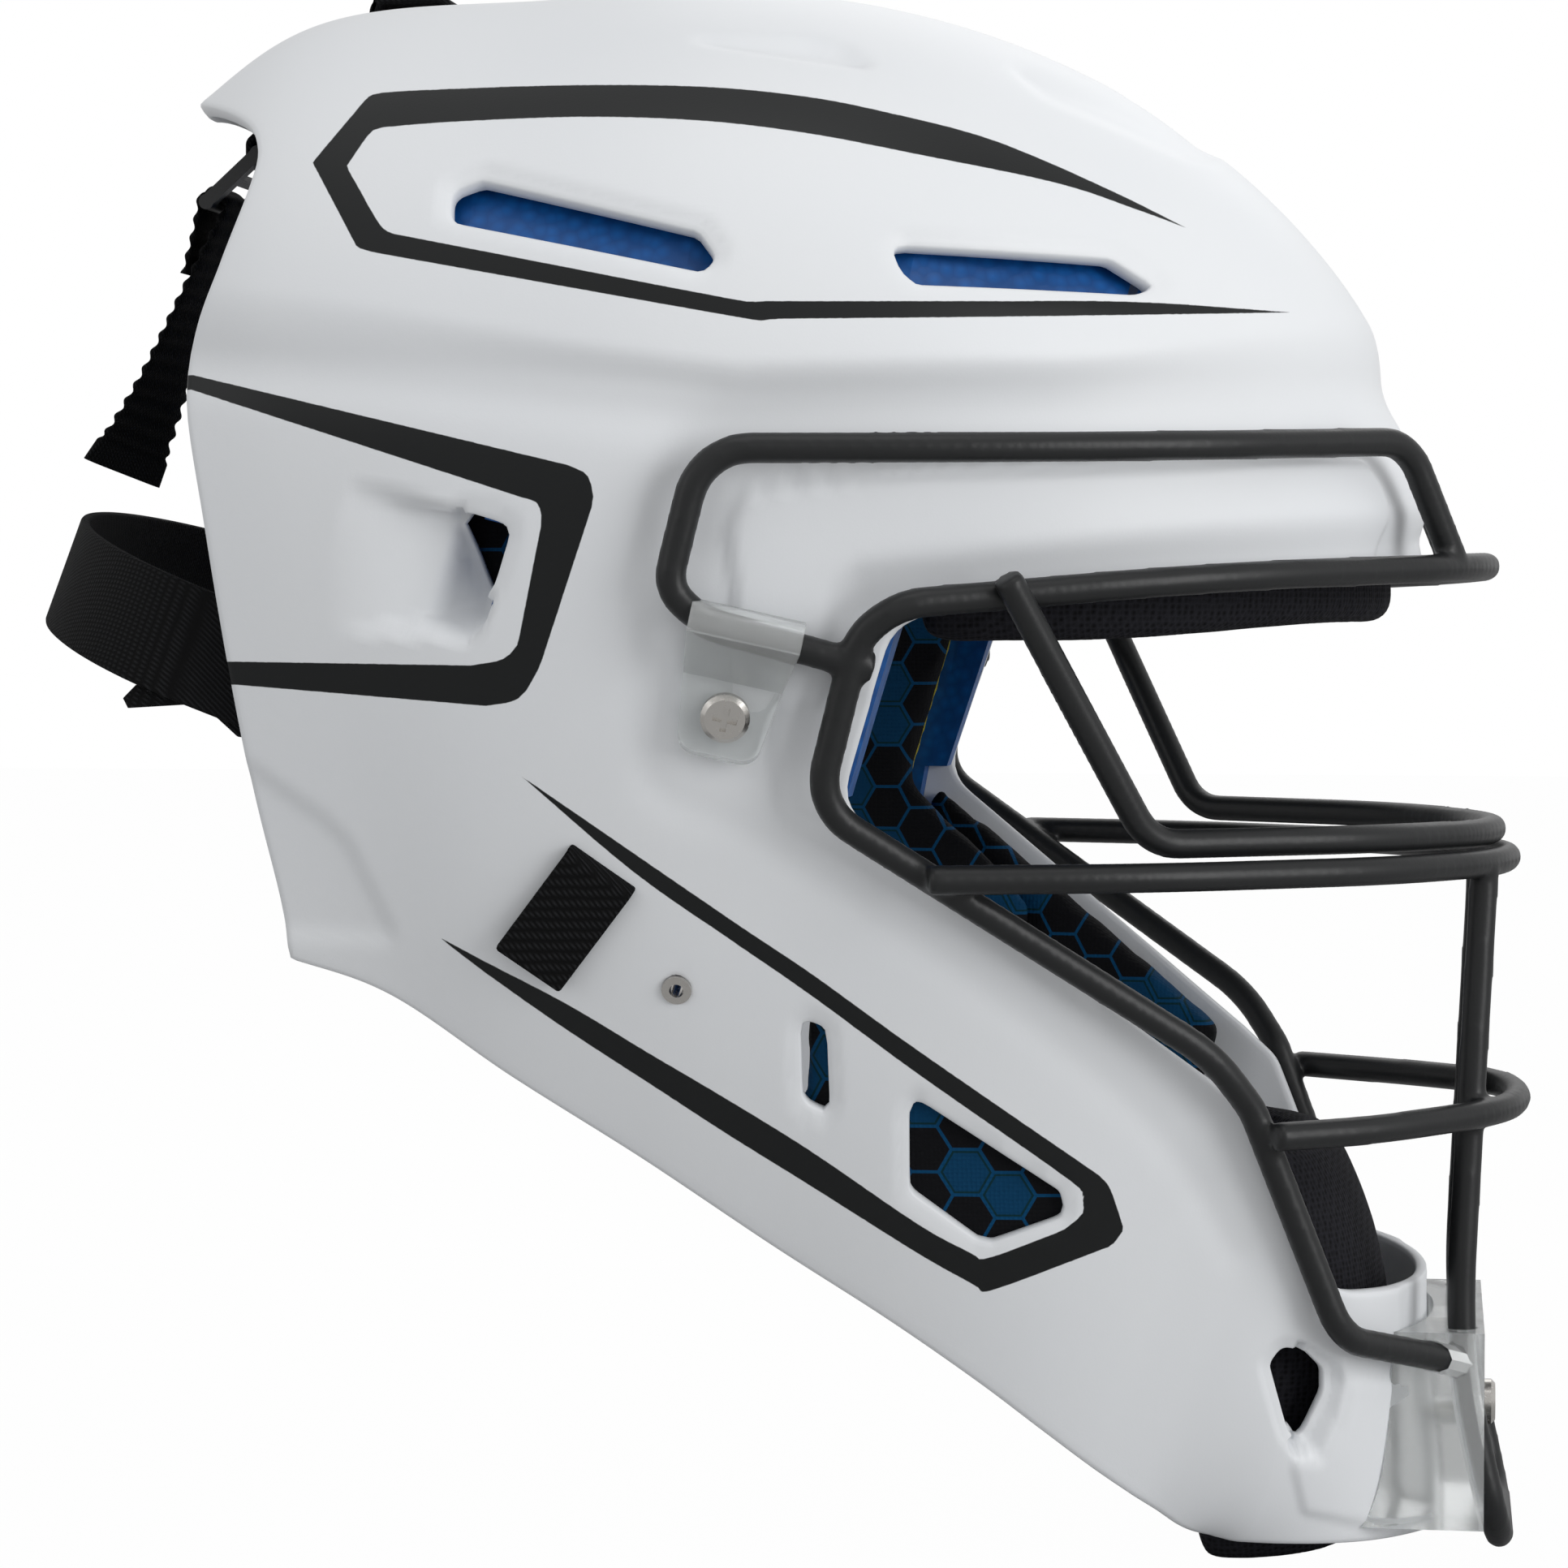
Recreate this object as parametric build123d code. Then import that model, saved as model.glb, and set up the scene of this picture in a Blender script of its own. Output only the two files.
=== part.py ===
"""Baseball catcher's helmet with a welded wire cage, in millimetres.

The frame: +X is where the wearer faces, +Y is the wearer's left, +Z is up. The origin is
the middle of the head, in the plane of symmetry. Each hand-chosen outline is written in
shares of the shell's length, half width and height, so it follows when those change.
"""
from build123d import *
from math import cos, hypot, pi, radians, sin, sqrt, tan
import os

# Driving sizes of the whole helmet
SHELL_LENGTH = 240.0
SHELL_WIDTH = 214.0
SHELL_HEIGHT = 300.0
HALF_WIDTH = SHELL_WIDTH / 2

# Shell
WALL = 3.2
DOME_STEP = 2.2          # the dome stands proud of the sides by this much
DOME_OVERLAP = 5.0       # height over which both layers of the wall run together
RECESS_DEPTH = 1.1
SCOOP_FLOOR = 96.4       # distance of the flat scoop floors from the plane of symmetry
SCOOP_BOSS = 5.5
RIB_ROUNDNESS = 2.2      # superellipse exponent of a rib above its widest place
RIB_TUCK = 1.7           # how the rib draws in below its widest place
OVERRUN = 40.0           # cutters run this far past what they cut

# Fits
CLEAR = 0.4              # around soft parts and between shell and liner
RUN_CLEAR = 0.3          # between rigid parts that are seated on each other

# Cage wire
WIRE = 5.2               # diameter of the round wire
WIRE_SIDES = 10          # it is drawn with this many sides and the round wire's area
WIRE_CORNER = WIRE / 2 * sqrt(2 * pi / (WIRE_SIDES * sin(2 * pi / WIRE_SIDES)))
BEND = 11.0              # centre-line radius of a tight bend

# Clips, screws and nuts
CLIP_SHEET = 1.8
CLIP_WIDTH = 20.0
CLIP_FOOT_WIDTH = 14.0
CLIP_REACH = 15.0        # wire centre to screw centre
CLIP_TAIL = 8.0          # screw centre to the end of the clip
SCREW_HEAD = 8.7
SCREW_HEAD_HEIGHT = 2.4
SCREW_SHANK = 4.8
SCREW_RECESS = 1.1       # cross slot: arm width and depth
NUT_FLANGE = 15.0
NUT_FLANGE_THICKNESS = 1.4
NUT_BARREL = 6.6
NUT_BARREL_LENGTH = 2.6
CHIN_CLIP_HEIGHT = 37.0
CHIN_CLIP_HALF_WIDTH = 33.0
CHIN_CLIP_COVER = 2.4

# Liner and pads
LINER = 13.0
SIDE_LINER = 8.0
FOAM = 3.0
CROWN_PAD = 8.0
SIDE_PAD = 11.0
JAW_PAD = 11.0
BROW_PAD = 13.0
CHIN_PAD = 15.0
PAD_EDGE_SHARE = 0.45    # thickness of a cushion at its sewn edge, of its full thickness

# Webbing, band and hardware
WEBBING_WIDTH = 20.0
WEBBING = 1.6
SLOT_GAP = 2.6
LOCK_WIDTH = 27.0
LOCK_LENGTH = 17.0
LOCK_THICKNESS = 2.6
LOCK_BAR = 3.0
STRAP_LENGTH = 57.0
STRAP_WIDTH = 21.0
STRAP = 2.0
STRAP_TWIST = 34.0       # the hanging end has turned this far, in degrees
STRAP_SLOPE = 65.0       # slope of the hanging strap, in degrees
STRAP_SECTIONS = 5
LOOP_HUMP = 4.5          # height of the anchor loop over the crown
BAND = 1.8
BAND_HEIGHT = 21.0
BAND_TUCK = 12.0         # length of each band end inside the shell
TAB_WIDTH = 14.0
TAB_LENGTH = 24.0
EYELET_BORE = 2.6
EYELET_BARREL = 3.8
EYELET_FLANGE = 5.4
EYELET_LIP = 0.7

# Ribs of the shell, from the rear rim over the crown and forehead to the chin. Each rib is
# a hoop in a plane square to the plane of symmetry.
# (lower edge x, z), (crown x, z), (half width at the edge, at the widest), widest place
RIB_SHARES = [
    ((-.300, -.287), (-.413, .253), (.720, .897), .57),
    ((-.217, -.310), (-.308, .305), (.710, .953), .57),
    ((-.125, -.360), (-.138, .315), (.682, .990), .58),
    ((-.025, -.413), (.050, .317), (.626, .990), .60),
    ((.075, -.470), (.221, .287), (.561, .925), .62),
    ((.158, -.513), (.375, .223), (.533, .822), .60),
    ((.225, -.550), (.483, .140), (.514, .710), .57),
    ((.275, -.580), (.546, .047), (.500, .617), .53),
    ((.313, -.603), (.573, -.047), (.486, .561), .48),
    ((.342, -.620), (.588, -.200), (.467, .528), .44),
    ((.363, -.633), (.583, -.367), (.439, .500), .40),
    ((.383, -.647), (.577, -.507), (.402, .449), .36),
    ((.404, -.657), (.588, -.657), (.355, .374), .12),
]

# Side-view outlines, as shares of SHELL_LENGTH and SHELL_HEIGHT
RIDGE_SHARES = [(-.458, .092), (-.345, .089), (-.171, .075), (.068, .052), (.295, .057),
                (.408, .066), (.528, .080), (.667, .085)]
RIM_SHARES = [(-.294, -.300), (-.298, -.255), (-.314, -.176), (-.336, -.035), (-.349, .060),
              (-.324, .123), (-.306, .172), (-.306, .200), (-.333, .220), (-.420, .245)]
OPENING_SHARES = [(.700, -.057), (.552, -.060), (.354, -.071), (.240, -.079), (.182, -.086),
                  (.138, -.197), (.410, -.367), (.438, -.387), (.493, -.496), (.700, -.512)]
REAR_VENT_SHARES = [(-.145, .166), (-.124, .172), (.040, .139), (.054, .124), (.046, .116),
                    (-.143, .148)]
FRONT_VENT_SHARES = [(.178, .132), (.329, .128), (.361, .112), (.350, .108), (.197, .110),
                     (.186, .118)]
TOP_RECESS_SHARES = [(.003, .262), (.105, .258), (.148, .237), (.120, .240)]
BROW_RECESS_SHARES = [(.238, .251), (.325, .230), (.378, .208), (.400, .190), (.372, .196),
                      (.276, .222)]
SIDE_VENT_SHARES = [(-.138, -.022), (-.095, -.031), (-.123, -.094), (-.170, -.092)]
SCOOP_SHARES = [(-.202, -.010), (-.115, -.020), (-.150, -.095), (-.253, -.091)]
SLOT_VENT_SHARES = [(.101, -.325), (.120, -.330), (.119, -.384), (.099, -.376)]
JAW_VENT_SHARES = [(.180, -.371), (.291, -.432), (.295, -.447), (.238, -.464), (.227, -.462),
                   (.177, -.432)]
CHIN_VENT_SHARES = [(.458, -.529), (.448, -.540), (.466, -.596), (.487, -.560), (.487, -.545),
                    (.475, -.533)]
BROW_PANEL_SHARES = [(.070, -.030), (.082, -.010), (.212, .001), (.381, .007), (.520, .008),
                     (.700, .000), (.700, -.090), (.150, -.110), (.110, -.090)]
JAW_FACET_SHARES = [(-.330, -.176), (-.252, -.209), (-.237, -.219), (-.208, -.277),
                    (-.330, -.258)]

# Cage, centre lines of the right-hand half. The frame wire rides on the shell, so its rows
# are shares of length and height and a lift in wire widths; the others are shares of
# length, half width and height.
FRAME_SHARES = [(.163, -.110, 0), (.045, -.083, 0), (.020, -.064, 0), (.046, .014, 0),
                (.238, .013, .35), (.381, .013, .5), (.520, .017, .5)]
FRAME_END_SHARES = (.585, -.262, -.053)
LOOP_SHARES = [(.615, 0, -.051), (.591, -.277, -.053), (.412, -.736, -.060),
               (.190, -.940, -.076), (.158, -.930, -.094), (.124, -.885, -.194),
               (.407, -.626, -.346), (.436, -.570, -.380), (.503, -.490, -.522),
               (.594, -.243, -.549)]
EYE_SHARES = [(.620, 0, -.219), (.602, -.221, -.219), (.529, -.467, -.218),
              (.362, -.706, -.218), (.276, -.925, -.061)]
CHEEK_SHARES = [(.632, 0), (.613, -.230), (.535, -.485), (.360, -.755), (.227, -.880)]
MOUTH_SHARES = [(.640, 0, -.391), (.625, -.243, -.391), (.532, -.480, -.394),
                (.443, -.610, -.398)]
CHIN_BAR_SHARES = [(.624, -.243, -.663), (.590, -.243, -.543)]

# Where single fittings sit, as shares of length and height
CLIP_SHARES = (.073, -.092)
SCREW_SHARES = (.058, -.138)
CHIN_SCREW_SHARE = -.589
EYELET_SHARES = (.010, -.306)
TAB_SHARES = ((-.040, -.233), (-.100, -.291))
CROWN_SLOT_SHARES = (-.292, -.229)
LOCK_BAR_SHARES = (-.386, .220)
LOCK_SLOPE = 42.0        # slope of the hanging lock, in degrees
BAND_SHARES = ((-.331, -.072), (-.525, -.013))   # top edge at the rim and at the back
TAIL_SHARES = [(-.275, -.160), (-.325, -.156), (-.353, -.136), (-.414, -.139),
               (-.419, -.133), (-.408, -.125), (-.388, -.118), (-.358, -.100),
               (-.275, -.100)]
PAD_SPAN = (.68, .86)    # how far down the ribs the side pads reach
# Side view of the room that the pads leave behind the edge of the face opening
PAD_EDGE_SHARES = [(.700, .020), (.196, -.020), (.150, -.080), (.108, -.200), (.390, -.400),
                   (.700, -.600)]

# Cushions round the inside of the brow and chin: height, rear station and front as shares
# of height and length, half width and thickness as shares of half width and full thickness
BROW_PAD_SHARES = [(-.098, .195, .550, .785, .62), (-.050, .195, .544, .800, 1.0),
                   (-.006, .195, .530, .800, .62)]
CHIN_PAD_SHARES = [(-.413, .367, .487, .411, .50), (-.500, .371, .529, .420, .87),
                   (-.593, .379, .533, .374, 1.0), (-.677, .392, .508, .271, .55)]
BROW_ROUNDNESS = 1.7     # superellipse exponents of the two cushions in plan
CHIN_ROUNDNESS = 2.2
# Side outline of the jaw pads, along the edge of the face opening and behind the chin
JAW_PAD_SHARES = [(.123, -.193), (.137, -.207), (.388, -.366), (.352, -.455), (.330, -.620),
                  (.039, -.620)]
# Side outlines of the rooms that the liner and foam leave for the brow and jaw pads
BROW_ROOM_SHARES = [(.190, 0), (.700, 0), (.700, -.300), (.190, -.300)]
JAW_ROOM_SHARES = [(.121, -.190), (.700, -.190), (.700, -.500), (.061, -.500)]


def side(shares):
    """Side-view point (x, z) from its shares."""
    return shares[0] * SHELL_LENGTH, shares[1] * SHELL_HEIGHT


def place(shares):
    """Point in space from its shares of length, half width and height."""
    return Vector(shares[0] * SHELL_LENGTH, shares[1] * HALF_WIDTH, shares[2] * SHELL_HEIGHT)


def mirrored(part):
    return mirror(part, about=Plane.XZ)


def rib_point(rib, v, offset):
    """Point on a rib: v is 0 on the crown line and 1 or -1 at the right or left edge."""
    edge, crown, (edge_width, widest), widest_place = RIB_SHARES[rib]
    (ex, ez), (cx, cz) = side(edge), side(crown)
    top = 1 + offset / hypot(cx - ex, cz - ez)
    half = widest * HALF_WIDTH + offset
    half_edge = edge_width * HALF_WIDTH + offset
    turn = abs(v) * 3 / 2
    if turn <= 1:
        power = 2 / RIB_ROUNDNESS
        rise = widest_place + (top - widest_place) * cos(turn * pi / 2) ** power
        y = half * sin(turn * pi / 2) ** power
    else:
        fall = 2 * (turn - 1)
        rise = widest_place * (1 - fall)
        y = half - (half - half_edge) * fall ** RIB_TUCK
    return Vector(ex + (cx - ex) * rise, -y if v > 0 else y, ez + (cz - ez) * rise)


def layer(ribs, outer, inner, v_from=-1, v_to=1, steps=16, ruled=False, cushion=False):
    """Solid between two offsets of the rib surface; a cushion thins to its sewn edges."""
    wires = []
    for rib in ribs:
        at_end = cushion and rib in (ribs[0], ribs[-1])
        outside, inside = [], []
        for k in range(steps + 1):
            v = v_from + (v_to - v_from) * k / steps
            edge = 1 - abs(2 * k / steps - 1) ** 4 if cushion else 1
            full = PAD_EDGE_SHARE if at_end else 1
            share = full * (PAD_EDGE_SHARE + (1 - PAD_EDGE_SHARE) * edge)
            outside.append(rib_point(rib, v, outer))
            inside.append(rib_point(rib, v, outer + (inner - outer) * share))
        wires.append(Wire([Spline(*outside), Line(outside[-1], inside[-1]),
                           Spline(*inside[::-1]), Line(inside[0], outside[0])]))
    return Solid.make_loft(wires, ruled)


def side_prism(points, near=-HALF_WIDTH - OVERRUN, far=HALF_WIDTH + OVERRUN, radius=0):
    """Block with a side-view outline, from y = near to y = far."""
    outline = [Vector(x, near, z) for x, z in points]
    path = FilletPolyline(*outline, radius=radius, close=True) if radius else \
        Polyline(*outline, close=True)
    return extrude(Face(Wire(path)), far - near, dir=(0, 1, 0))


def outline_prism(shares, radius=0, near=-HALF_WIDTH - OVERRUN, far=HALF_WIDTH + OVERRUN):
    return side_prism([side(s) for s in shares], near, far, radius)


def above_ridge(lift=0):
    """Everything above the line where the dome oversails the sides."""
    ridge = [Vector(side(s)[0], -HALF_WIDTH - OVERRUN, side(s)[1] + lift) for s in RIDGE_SHARES]
    top = SHELL_HEIGHT / 2
    corners = [ridge[-1], Vector(ridge[-1].X, ridge[-1].Y, top),
               Vector(ridge[0].X, ridge[0].Y, top), ridge[0]]
    face = Face(Wire([Spline(*ridge), *Polyline(*corners).edges()]))
    return extrude(face, SHELL_WIDTH + 2 * OVERRUN, dir=(0, 1, 0))


ALL_RIBS = range(len(RIB_SHARES))
LINING = -DOME_STEP - WALL          # offset of the inside of the shell
REACH = SHELL_LENGTH + OVERRUN      # from outside the helmet, past everything on it
SIDES = layer(ALL_RIBS, -DOME_STEP, LINING)


def on_sides(origin, direction, lift=0.0):
    """Where a ray first meets the outside of the sides, raised along the normal there."""
    spot, normal = SIDES.find_intersection_points(Axis(origin, direction))[0]
    return spot + normal * lift


def side_point(x, z, lift=0.0):
    """Point on the right-hand side, at a side-view place."""
    return on_sides((x, -REACH, z), (0, 1, 0), lift)


def front_point(z, lift=0.0):
    """Point on the middle of the front, at a height."""
    return on_sides((REACH, 0, z), (-1, 0, 0), lift)


def shell_frame(at, towards):
    """Plane on the right-hand side of the shell: y points along the surface, z out of it."""
    origin, normal = SIDES.find_intersection_points(Axis((at[0], -REACH, at[1]), (0, 1, 0)))[0]
    along = side_point(*towards) - origin
    return Plane(origin=origin, x_dir=along.cross(normal), z_dir=normal)


CLIP_STAND = RUN_CLEAR + CLIP_SHEET + RUN_CLEAR + WIRE / 2   # wire centre above the shell
CLIP_PLANE = shell_frame(side(SCREW_SHARES), side(CLIP_SHARES))
EYELET_PLANE = shell_frame(side(EYELET_SHARES), side(TAB_SHARES[0]))
TAB_PLANE = shell_frame(side(TAB_SHARES[0]), side(TAB_SHARES[1]))
CROWN_TOP = rib_point(1, 0, 0).Z
CHIN_PLANE = Plane(origin=front_point(CHIN_SCREW_SHARE * SHELL_HEIGHT), x_dir=(0, 1, 0),
                   z_dir=(1, 0, 0))


# Cage

def wire(path, grow=0.0):
    """Cage wire along a centre line, or the room that it takes with a clearance."""
    start = Plane(origin=path @ 0, z_dir=path % 0)
    return sweep(start * RegularPolygon(WIRE_CORNER + grow, WIRE_SIDES), path=path)


def bent_path(points, tight=()):
    """Straight runs joined by bends: the tight ones share a radius, the rest are wide."""
    radii = []
    for k in range(1, len(points) - 1):
        before, after = points[k] - points[k - 1], points[k + 1] - points[k]
        half_turn = radians(before.get_angle(after)) / 2
        widest = min(before.length, after.length) * 9 / 20 / tan(half_turn)
        radii.append(min(widest, BEND) if k in tight else widest)
    return Wire(FilletPolyline(*points, radius=radii).edges())


def symmetric_path(half, tight=()):
    """Centre line with both halves, from points that run from the middle to the right."""
    other = [Vector(p.X, -p.Y, p.Z) for p in half if abs(p.Y) > 0]
    last, first = len(half) - 1, len(other)
    corners = [last - row for row in tight] + [first + row for row in tight]
    return bent_path(half[::-1] + other, corners)


def nearest(path, target):
    return path.closest_points(Vertex(target))[0]


def outside_of(path, target):
    """Centre of a wire that is lapped on the outer side of another, near a target."""
    spot = nearest(path, target)
    away = Vector(spot.X - path.center().X / 2, spot.Y, 0).normalized()
    return spot + away * WIRE


def cage_paths():
    """Centre lines of the welded wires, each taken from the wires that it is welded to."""
    loop = symmetric_path([place(s) for s in LOOP_SHARES], tight=(3, 4, 5, 7, 8))

    eye_half = [place(s) for s in EYE_SHARES]
    lap = outside_of(loop, eye_half[-1])
    eye_half[-1] = Vector(lap.X, lap.Y, eye_half[-1].Z)
    eye = symmetric_path(eye_half, tight=(3,))

    cheek_z = eye_half[0].Z - 2 * WIRE_CORNER
    cheek_half = [place((*s, 0)) + Vector(0, 0, cheek_z) for s in CHEEK_SHARES]
    lap = outside_of(loop, cheek_half[-1])
    cheek_half[-1] = Vector(lap.X, lap.Y, cheek_z)
    cheek = symmetric_path(cheek_half)

    mouth_half = [place(s) for s in MOUTH_SHARES]
    mouth_half[-1] = outside_of(loop, mouth_half[-1])
    mouth = symmetric_path(mouth_half)

    corner, bend = [place(s) for s in CHIN_BAR_SHARES]
    crossing = nearest(mouth, Vector(mouth_half[0].X, corner.Y, mouth_half[0].Z))
    behind = Vector(crossing.X - WIRE, corner.Y, crossing.Z)
    top = nearest(cheek, Vector(cheek_half[0].X, corner.Y, cheek_z))
    chin = symmetric_path([corner, bend, behind, top], tight=(0,))

    frame = [side_point(*side(s), CLIP_STAND + s[2] * WIRE) for s in FRAME_SHARES]
    frame.append(nearest(loop, place(FRAME_END_SHARES)))
    return loop, eye, cheek, mouth, chin, bent_path(frame, tight=(2, 3, 6))


def weld(part, *carriers):
    """Cut a wire back to the faces of the wires that its end is welded to."""
    for carrier in carriers:
        part = part - carrier
    return largest(part)


def largest(part):
    return max(part.solids(), key=lambda solid: solid.volume)


# Clips and their screws

def side_clip(plane, wire_room):
    """Strip folded round the frame wire, with both legs under one screw."""
    back = RUN_CLEAR + CLIP_SHEET / 2
    over = 2 * CLIP_STAND - back
    knee = SCREW_HEAD / 2 + CLIP_SHEET
    path = [Line((0, -CLIP_TAIL, back), (0, CLIP_REACH, back)),
            ThreePointArc((0, CLIP_REACH, back), (0, CLIP_REACH + CLIP_STAND - back, CLIP_STAND),
                          (0, CLIP_REACH, over)),
            Line((0, CLIP_REACH, over), (0, knee, back + CLIP_SHEET))]
    start = Plane(origin=(0, -CLIP_TAIL, back), x_dir=(1, 0, 0), z_dir=(0, 1, 0))
    strip = sweep(start * Rectangle(CLIP_WIDTH, CLIP_SHEET), path=Wire(path))
    foot = Pos(0, (knee - CLIP_TAIL) / 2, back + CLIP_SHEET) * \
        Box(CLIP_WIDTH, knee + CLIP_TAIL, CLIP_SHEET)
    top, bottom, up = CLIP_WIDTH / 2, CLIP_FOOT_WIDTH / 2, CLIP_REACH + OVERRUN
    taper = make_face(Polyline((-top, up), (-top, CLIP_REACH), (-bottom, -CLIP_TAIL),
                               (bottom, -CLIP_TAIL), (top, CLIP_REACH), (top, up), close=True))
    taper = fillet(taper.vertices().sort_by(Axis.Y)[:2], CLIP_FOOT_WIDTH / 4)
    strip = (strip + foot) & extrude(taper, OVERRUN, both=True)
    strip = strip - Cylinder(SCREW_SHANK / 2 + RUN_CLEAR, OVERRUN)
    return largest(plane * strip - wire_room)


def screw(plane, seat, reach):
    """Pan-head screw with a cross slot; its head seats at a height above the plane."""
    head = Pos(0, 0, seat + SCREW_HEAD_HEIGHT / 2) * Cylinder(SCREW_HEAD / 2, SCREW_HEAD_HEIGHT)
    head = chamfer(head.edges().group_by(Axis.Z)[-1], SCREW_HEAD_HEIGHT / 3)
    top = seat + SCREW_HEAD_HEIGHT
    for turn in (0, 90):
        arm = Box(SCREW_HEAD / 2, SCREW_RECESS, 2 * SCREW_RECESS)
        head = head - Pos(0, 0, top) * Rot(0, 0, turn) * arm
    shank = Pos(0, 0, seat - reach / 2) * Cylinder(SCREW_SHANK / 2, reach)
    return plane * (head + shank)


def tee_nut(plane):
    """Flanged nut whose barrel sits in the shell, with its flange on the inside."""
    flange = Pos(0, 0, -WALL - RUN_CLEAR - NUT_FLANGE_THICKNESS / 2) * \
        Cylinder(NUT_FLANGE / 2, NUT_FLANGE_THICKNESS)
    barrel = Pos(0, 0, -WALL - RUN_CLEAR + NUT_BARREL_LENGTH / 2) * \
        Cylinder(NUT_BARREL / 2, NUT_BARREL_LENGTH)
    bore = Cylinder(SCREW_SHANK / 2 + RUN_CLEAR / 3, OVERRUN)
    return plane * (flange + barrel - bore)


def chin_clip(rooms, chin_plane):
    """Saddle over both chin bars, seated on the chin and held by one screw."""
    z = chin_plane.origin.Z
    half = CHIN_CLIP_HEIGHT / 2
    front = place(CHIN_BAR_SHARES[1]).X + WIRE / 2 + CHIN_CLIP_COVER
    rear = front - CHIN_CLIP_HALF_WIDTH
    block = side_prism([(rear, z + half), (front, z + half), (front, z - half),
                        (rear, z - half)], -CHIN_CLIP_HALF_WIDTH, CHIN_CLIP_HALF_WIDTH)
    core = layer(ALL_RIBS, -DOME_STEP + RUN_CLEAR, LINING - WALL)
    hole = chin_plane * Cylinder(SCREW_SHANK / 2 + RUN_CLEAR, OVERRUN)
    saddle = max((block - core).solids(), key=lambda solid: solid.center().X)
    for room in (hole, *rooms):
        saddle = largest(saddle - room)
    return saddle


# Webbing and straps

def strip_along(points, width, thickness, radius, middle=0.0):
    """Flat webbing along a side-view line; its width lies along Y about a middle."""
    path = Wire(FilletPolyline(*[Vector(x, middle, z) for x, z in points], radius=radius).edges())
    start = Plane(origin=path @ 0, x_dir=(0, 1, 0), z_dir=path % 0)
    return sweep(start * Rectangle(width, thickness), path=path)


# Shell

def rear_region():
    rim = [side(s) for s in RIM_SHARES]
    behind = -SHELL_LENGTH
    return side_prism([*rim, (behind, rim[-1][1]), (behind, rim[0][1])])


def shell_body():
    dome = layer(ALL_RIBS, 0, -WALL) & above_ridge()
    sides = SIDES - above_ridge(DOME_OVERLAP)
    return dome + sides


def scoop_bosses():
    """The wall runs thicker inside each side vent, for the scoop that leads into it."""
    boss = layer(range(4), LINING + CLEAR, LINING - SCOOP_BOSS, v_from=2 / 5, v_to=1)
    return boss & outline_prism(SCOOP_SHARES)


def both_sides(cutter):
    return [cutter, mirrored(cutter)]


def shell():
    body = shell_body()
    for boss in both_sides(scoop_bosses()):
        body = body + boss
    cutters = [rear_region(), side_prism([side(s) for s in OPENING_SHARES])]
    for shares in (REAR_VENT_SHARES, FRONT_VENT_SHARES, SIDE_VENT_SHARES, SLOT_VENT_SHARES,
                   JAW_VENT_SHARES, CHIN_VENT_SHARES):
        cutters.append(outline_prism(shares))
    bore = 4 * WALL
    cutters += both_sides(outline_prism(SCOOP_SHARES, far=-SCOOP_FLOOR))
    cutters += both_sides(EYELET_PLANE * Cylinder(EYELET_BARREL / 2 + RUN_CLEAR, bore))
    cutters += both_sides(CLIP_PLANE * Cylinder(NUT_BARREL / 2 + RUN_CLEAR, bore))
    cutters.append(CHIN_PLANE * Cylinder(NUT_BARREL / 2 + RUN_CLEAR, bore))
    cutters += both_sides(TAB_PLANE * Box(TAB_WIDTH + 2 * CLEAR, SLOT_GAP, bore))
    for share in CROWN_SLOT_SHARES:
        cutters.append(Pos(share * SHELL_LENGTH, 0, CROWN_TOP) *
                       Box(SLOT_GAP, WEBBING_WIDTH + 2 * CLEAR, 2 * bore))
    for shares, ribs, skin in ((TOP_RECESS_SHARES, range(2, 7), 0),
                               (BROW_RECESS_SHARES, range(2, 7), 0),
                               (BROW_PANEL_SHARES, range(2, 10), -DOME_STEP),
                               (JAW_FACET_SHARES, range(4), -DOME_STEP)):
        depth = layer(ribs, skin + 2 * RECESS_DEPTH, skin - RECESS_DEPTH)
        cutters.append(outline_prism(shares) & depth)
    for cutter in cutters:
        body = body - cutter
    return largest(body)


# Liner and pads

def right_layer(*args, **options):
    return layer(*args, ruled=True, **options)


def ring_cushion(rows, roundness, full):
    """Cushion that runs round the front, inside the shell, from one side to the other."""
    wires = []
    for height, rear, front, half, share in rows:
        (rear, z), front = side((rear, height)), front * SHELL_LENGTH
        half, thickness, power = half * HALF_WIDTH, share * full, 2 / roundness
        outer, inner = [], []
        for k in range(-4, 5):
            turn = abs(k) * pi / 8
            along, across = cos(turn) ** power, sin(turn) ** power
            across = -across if k < 0 else across
            outer.append(Vector(rear + (front - rear) * along, half * across, z))
            inner.append(Vector(rear + (front - thickness - rear) * along,
                                (half - thickness) * across, z))
        wires.append(Wire([Spline(*outer), Line(outer[-1], inner[-1]), Spline(*inner[::-1]),
                           Line(inner[0], outer[0])]))
    return Solid.make_loft(wires)


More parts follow.
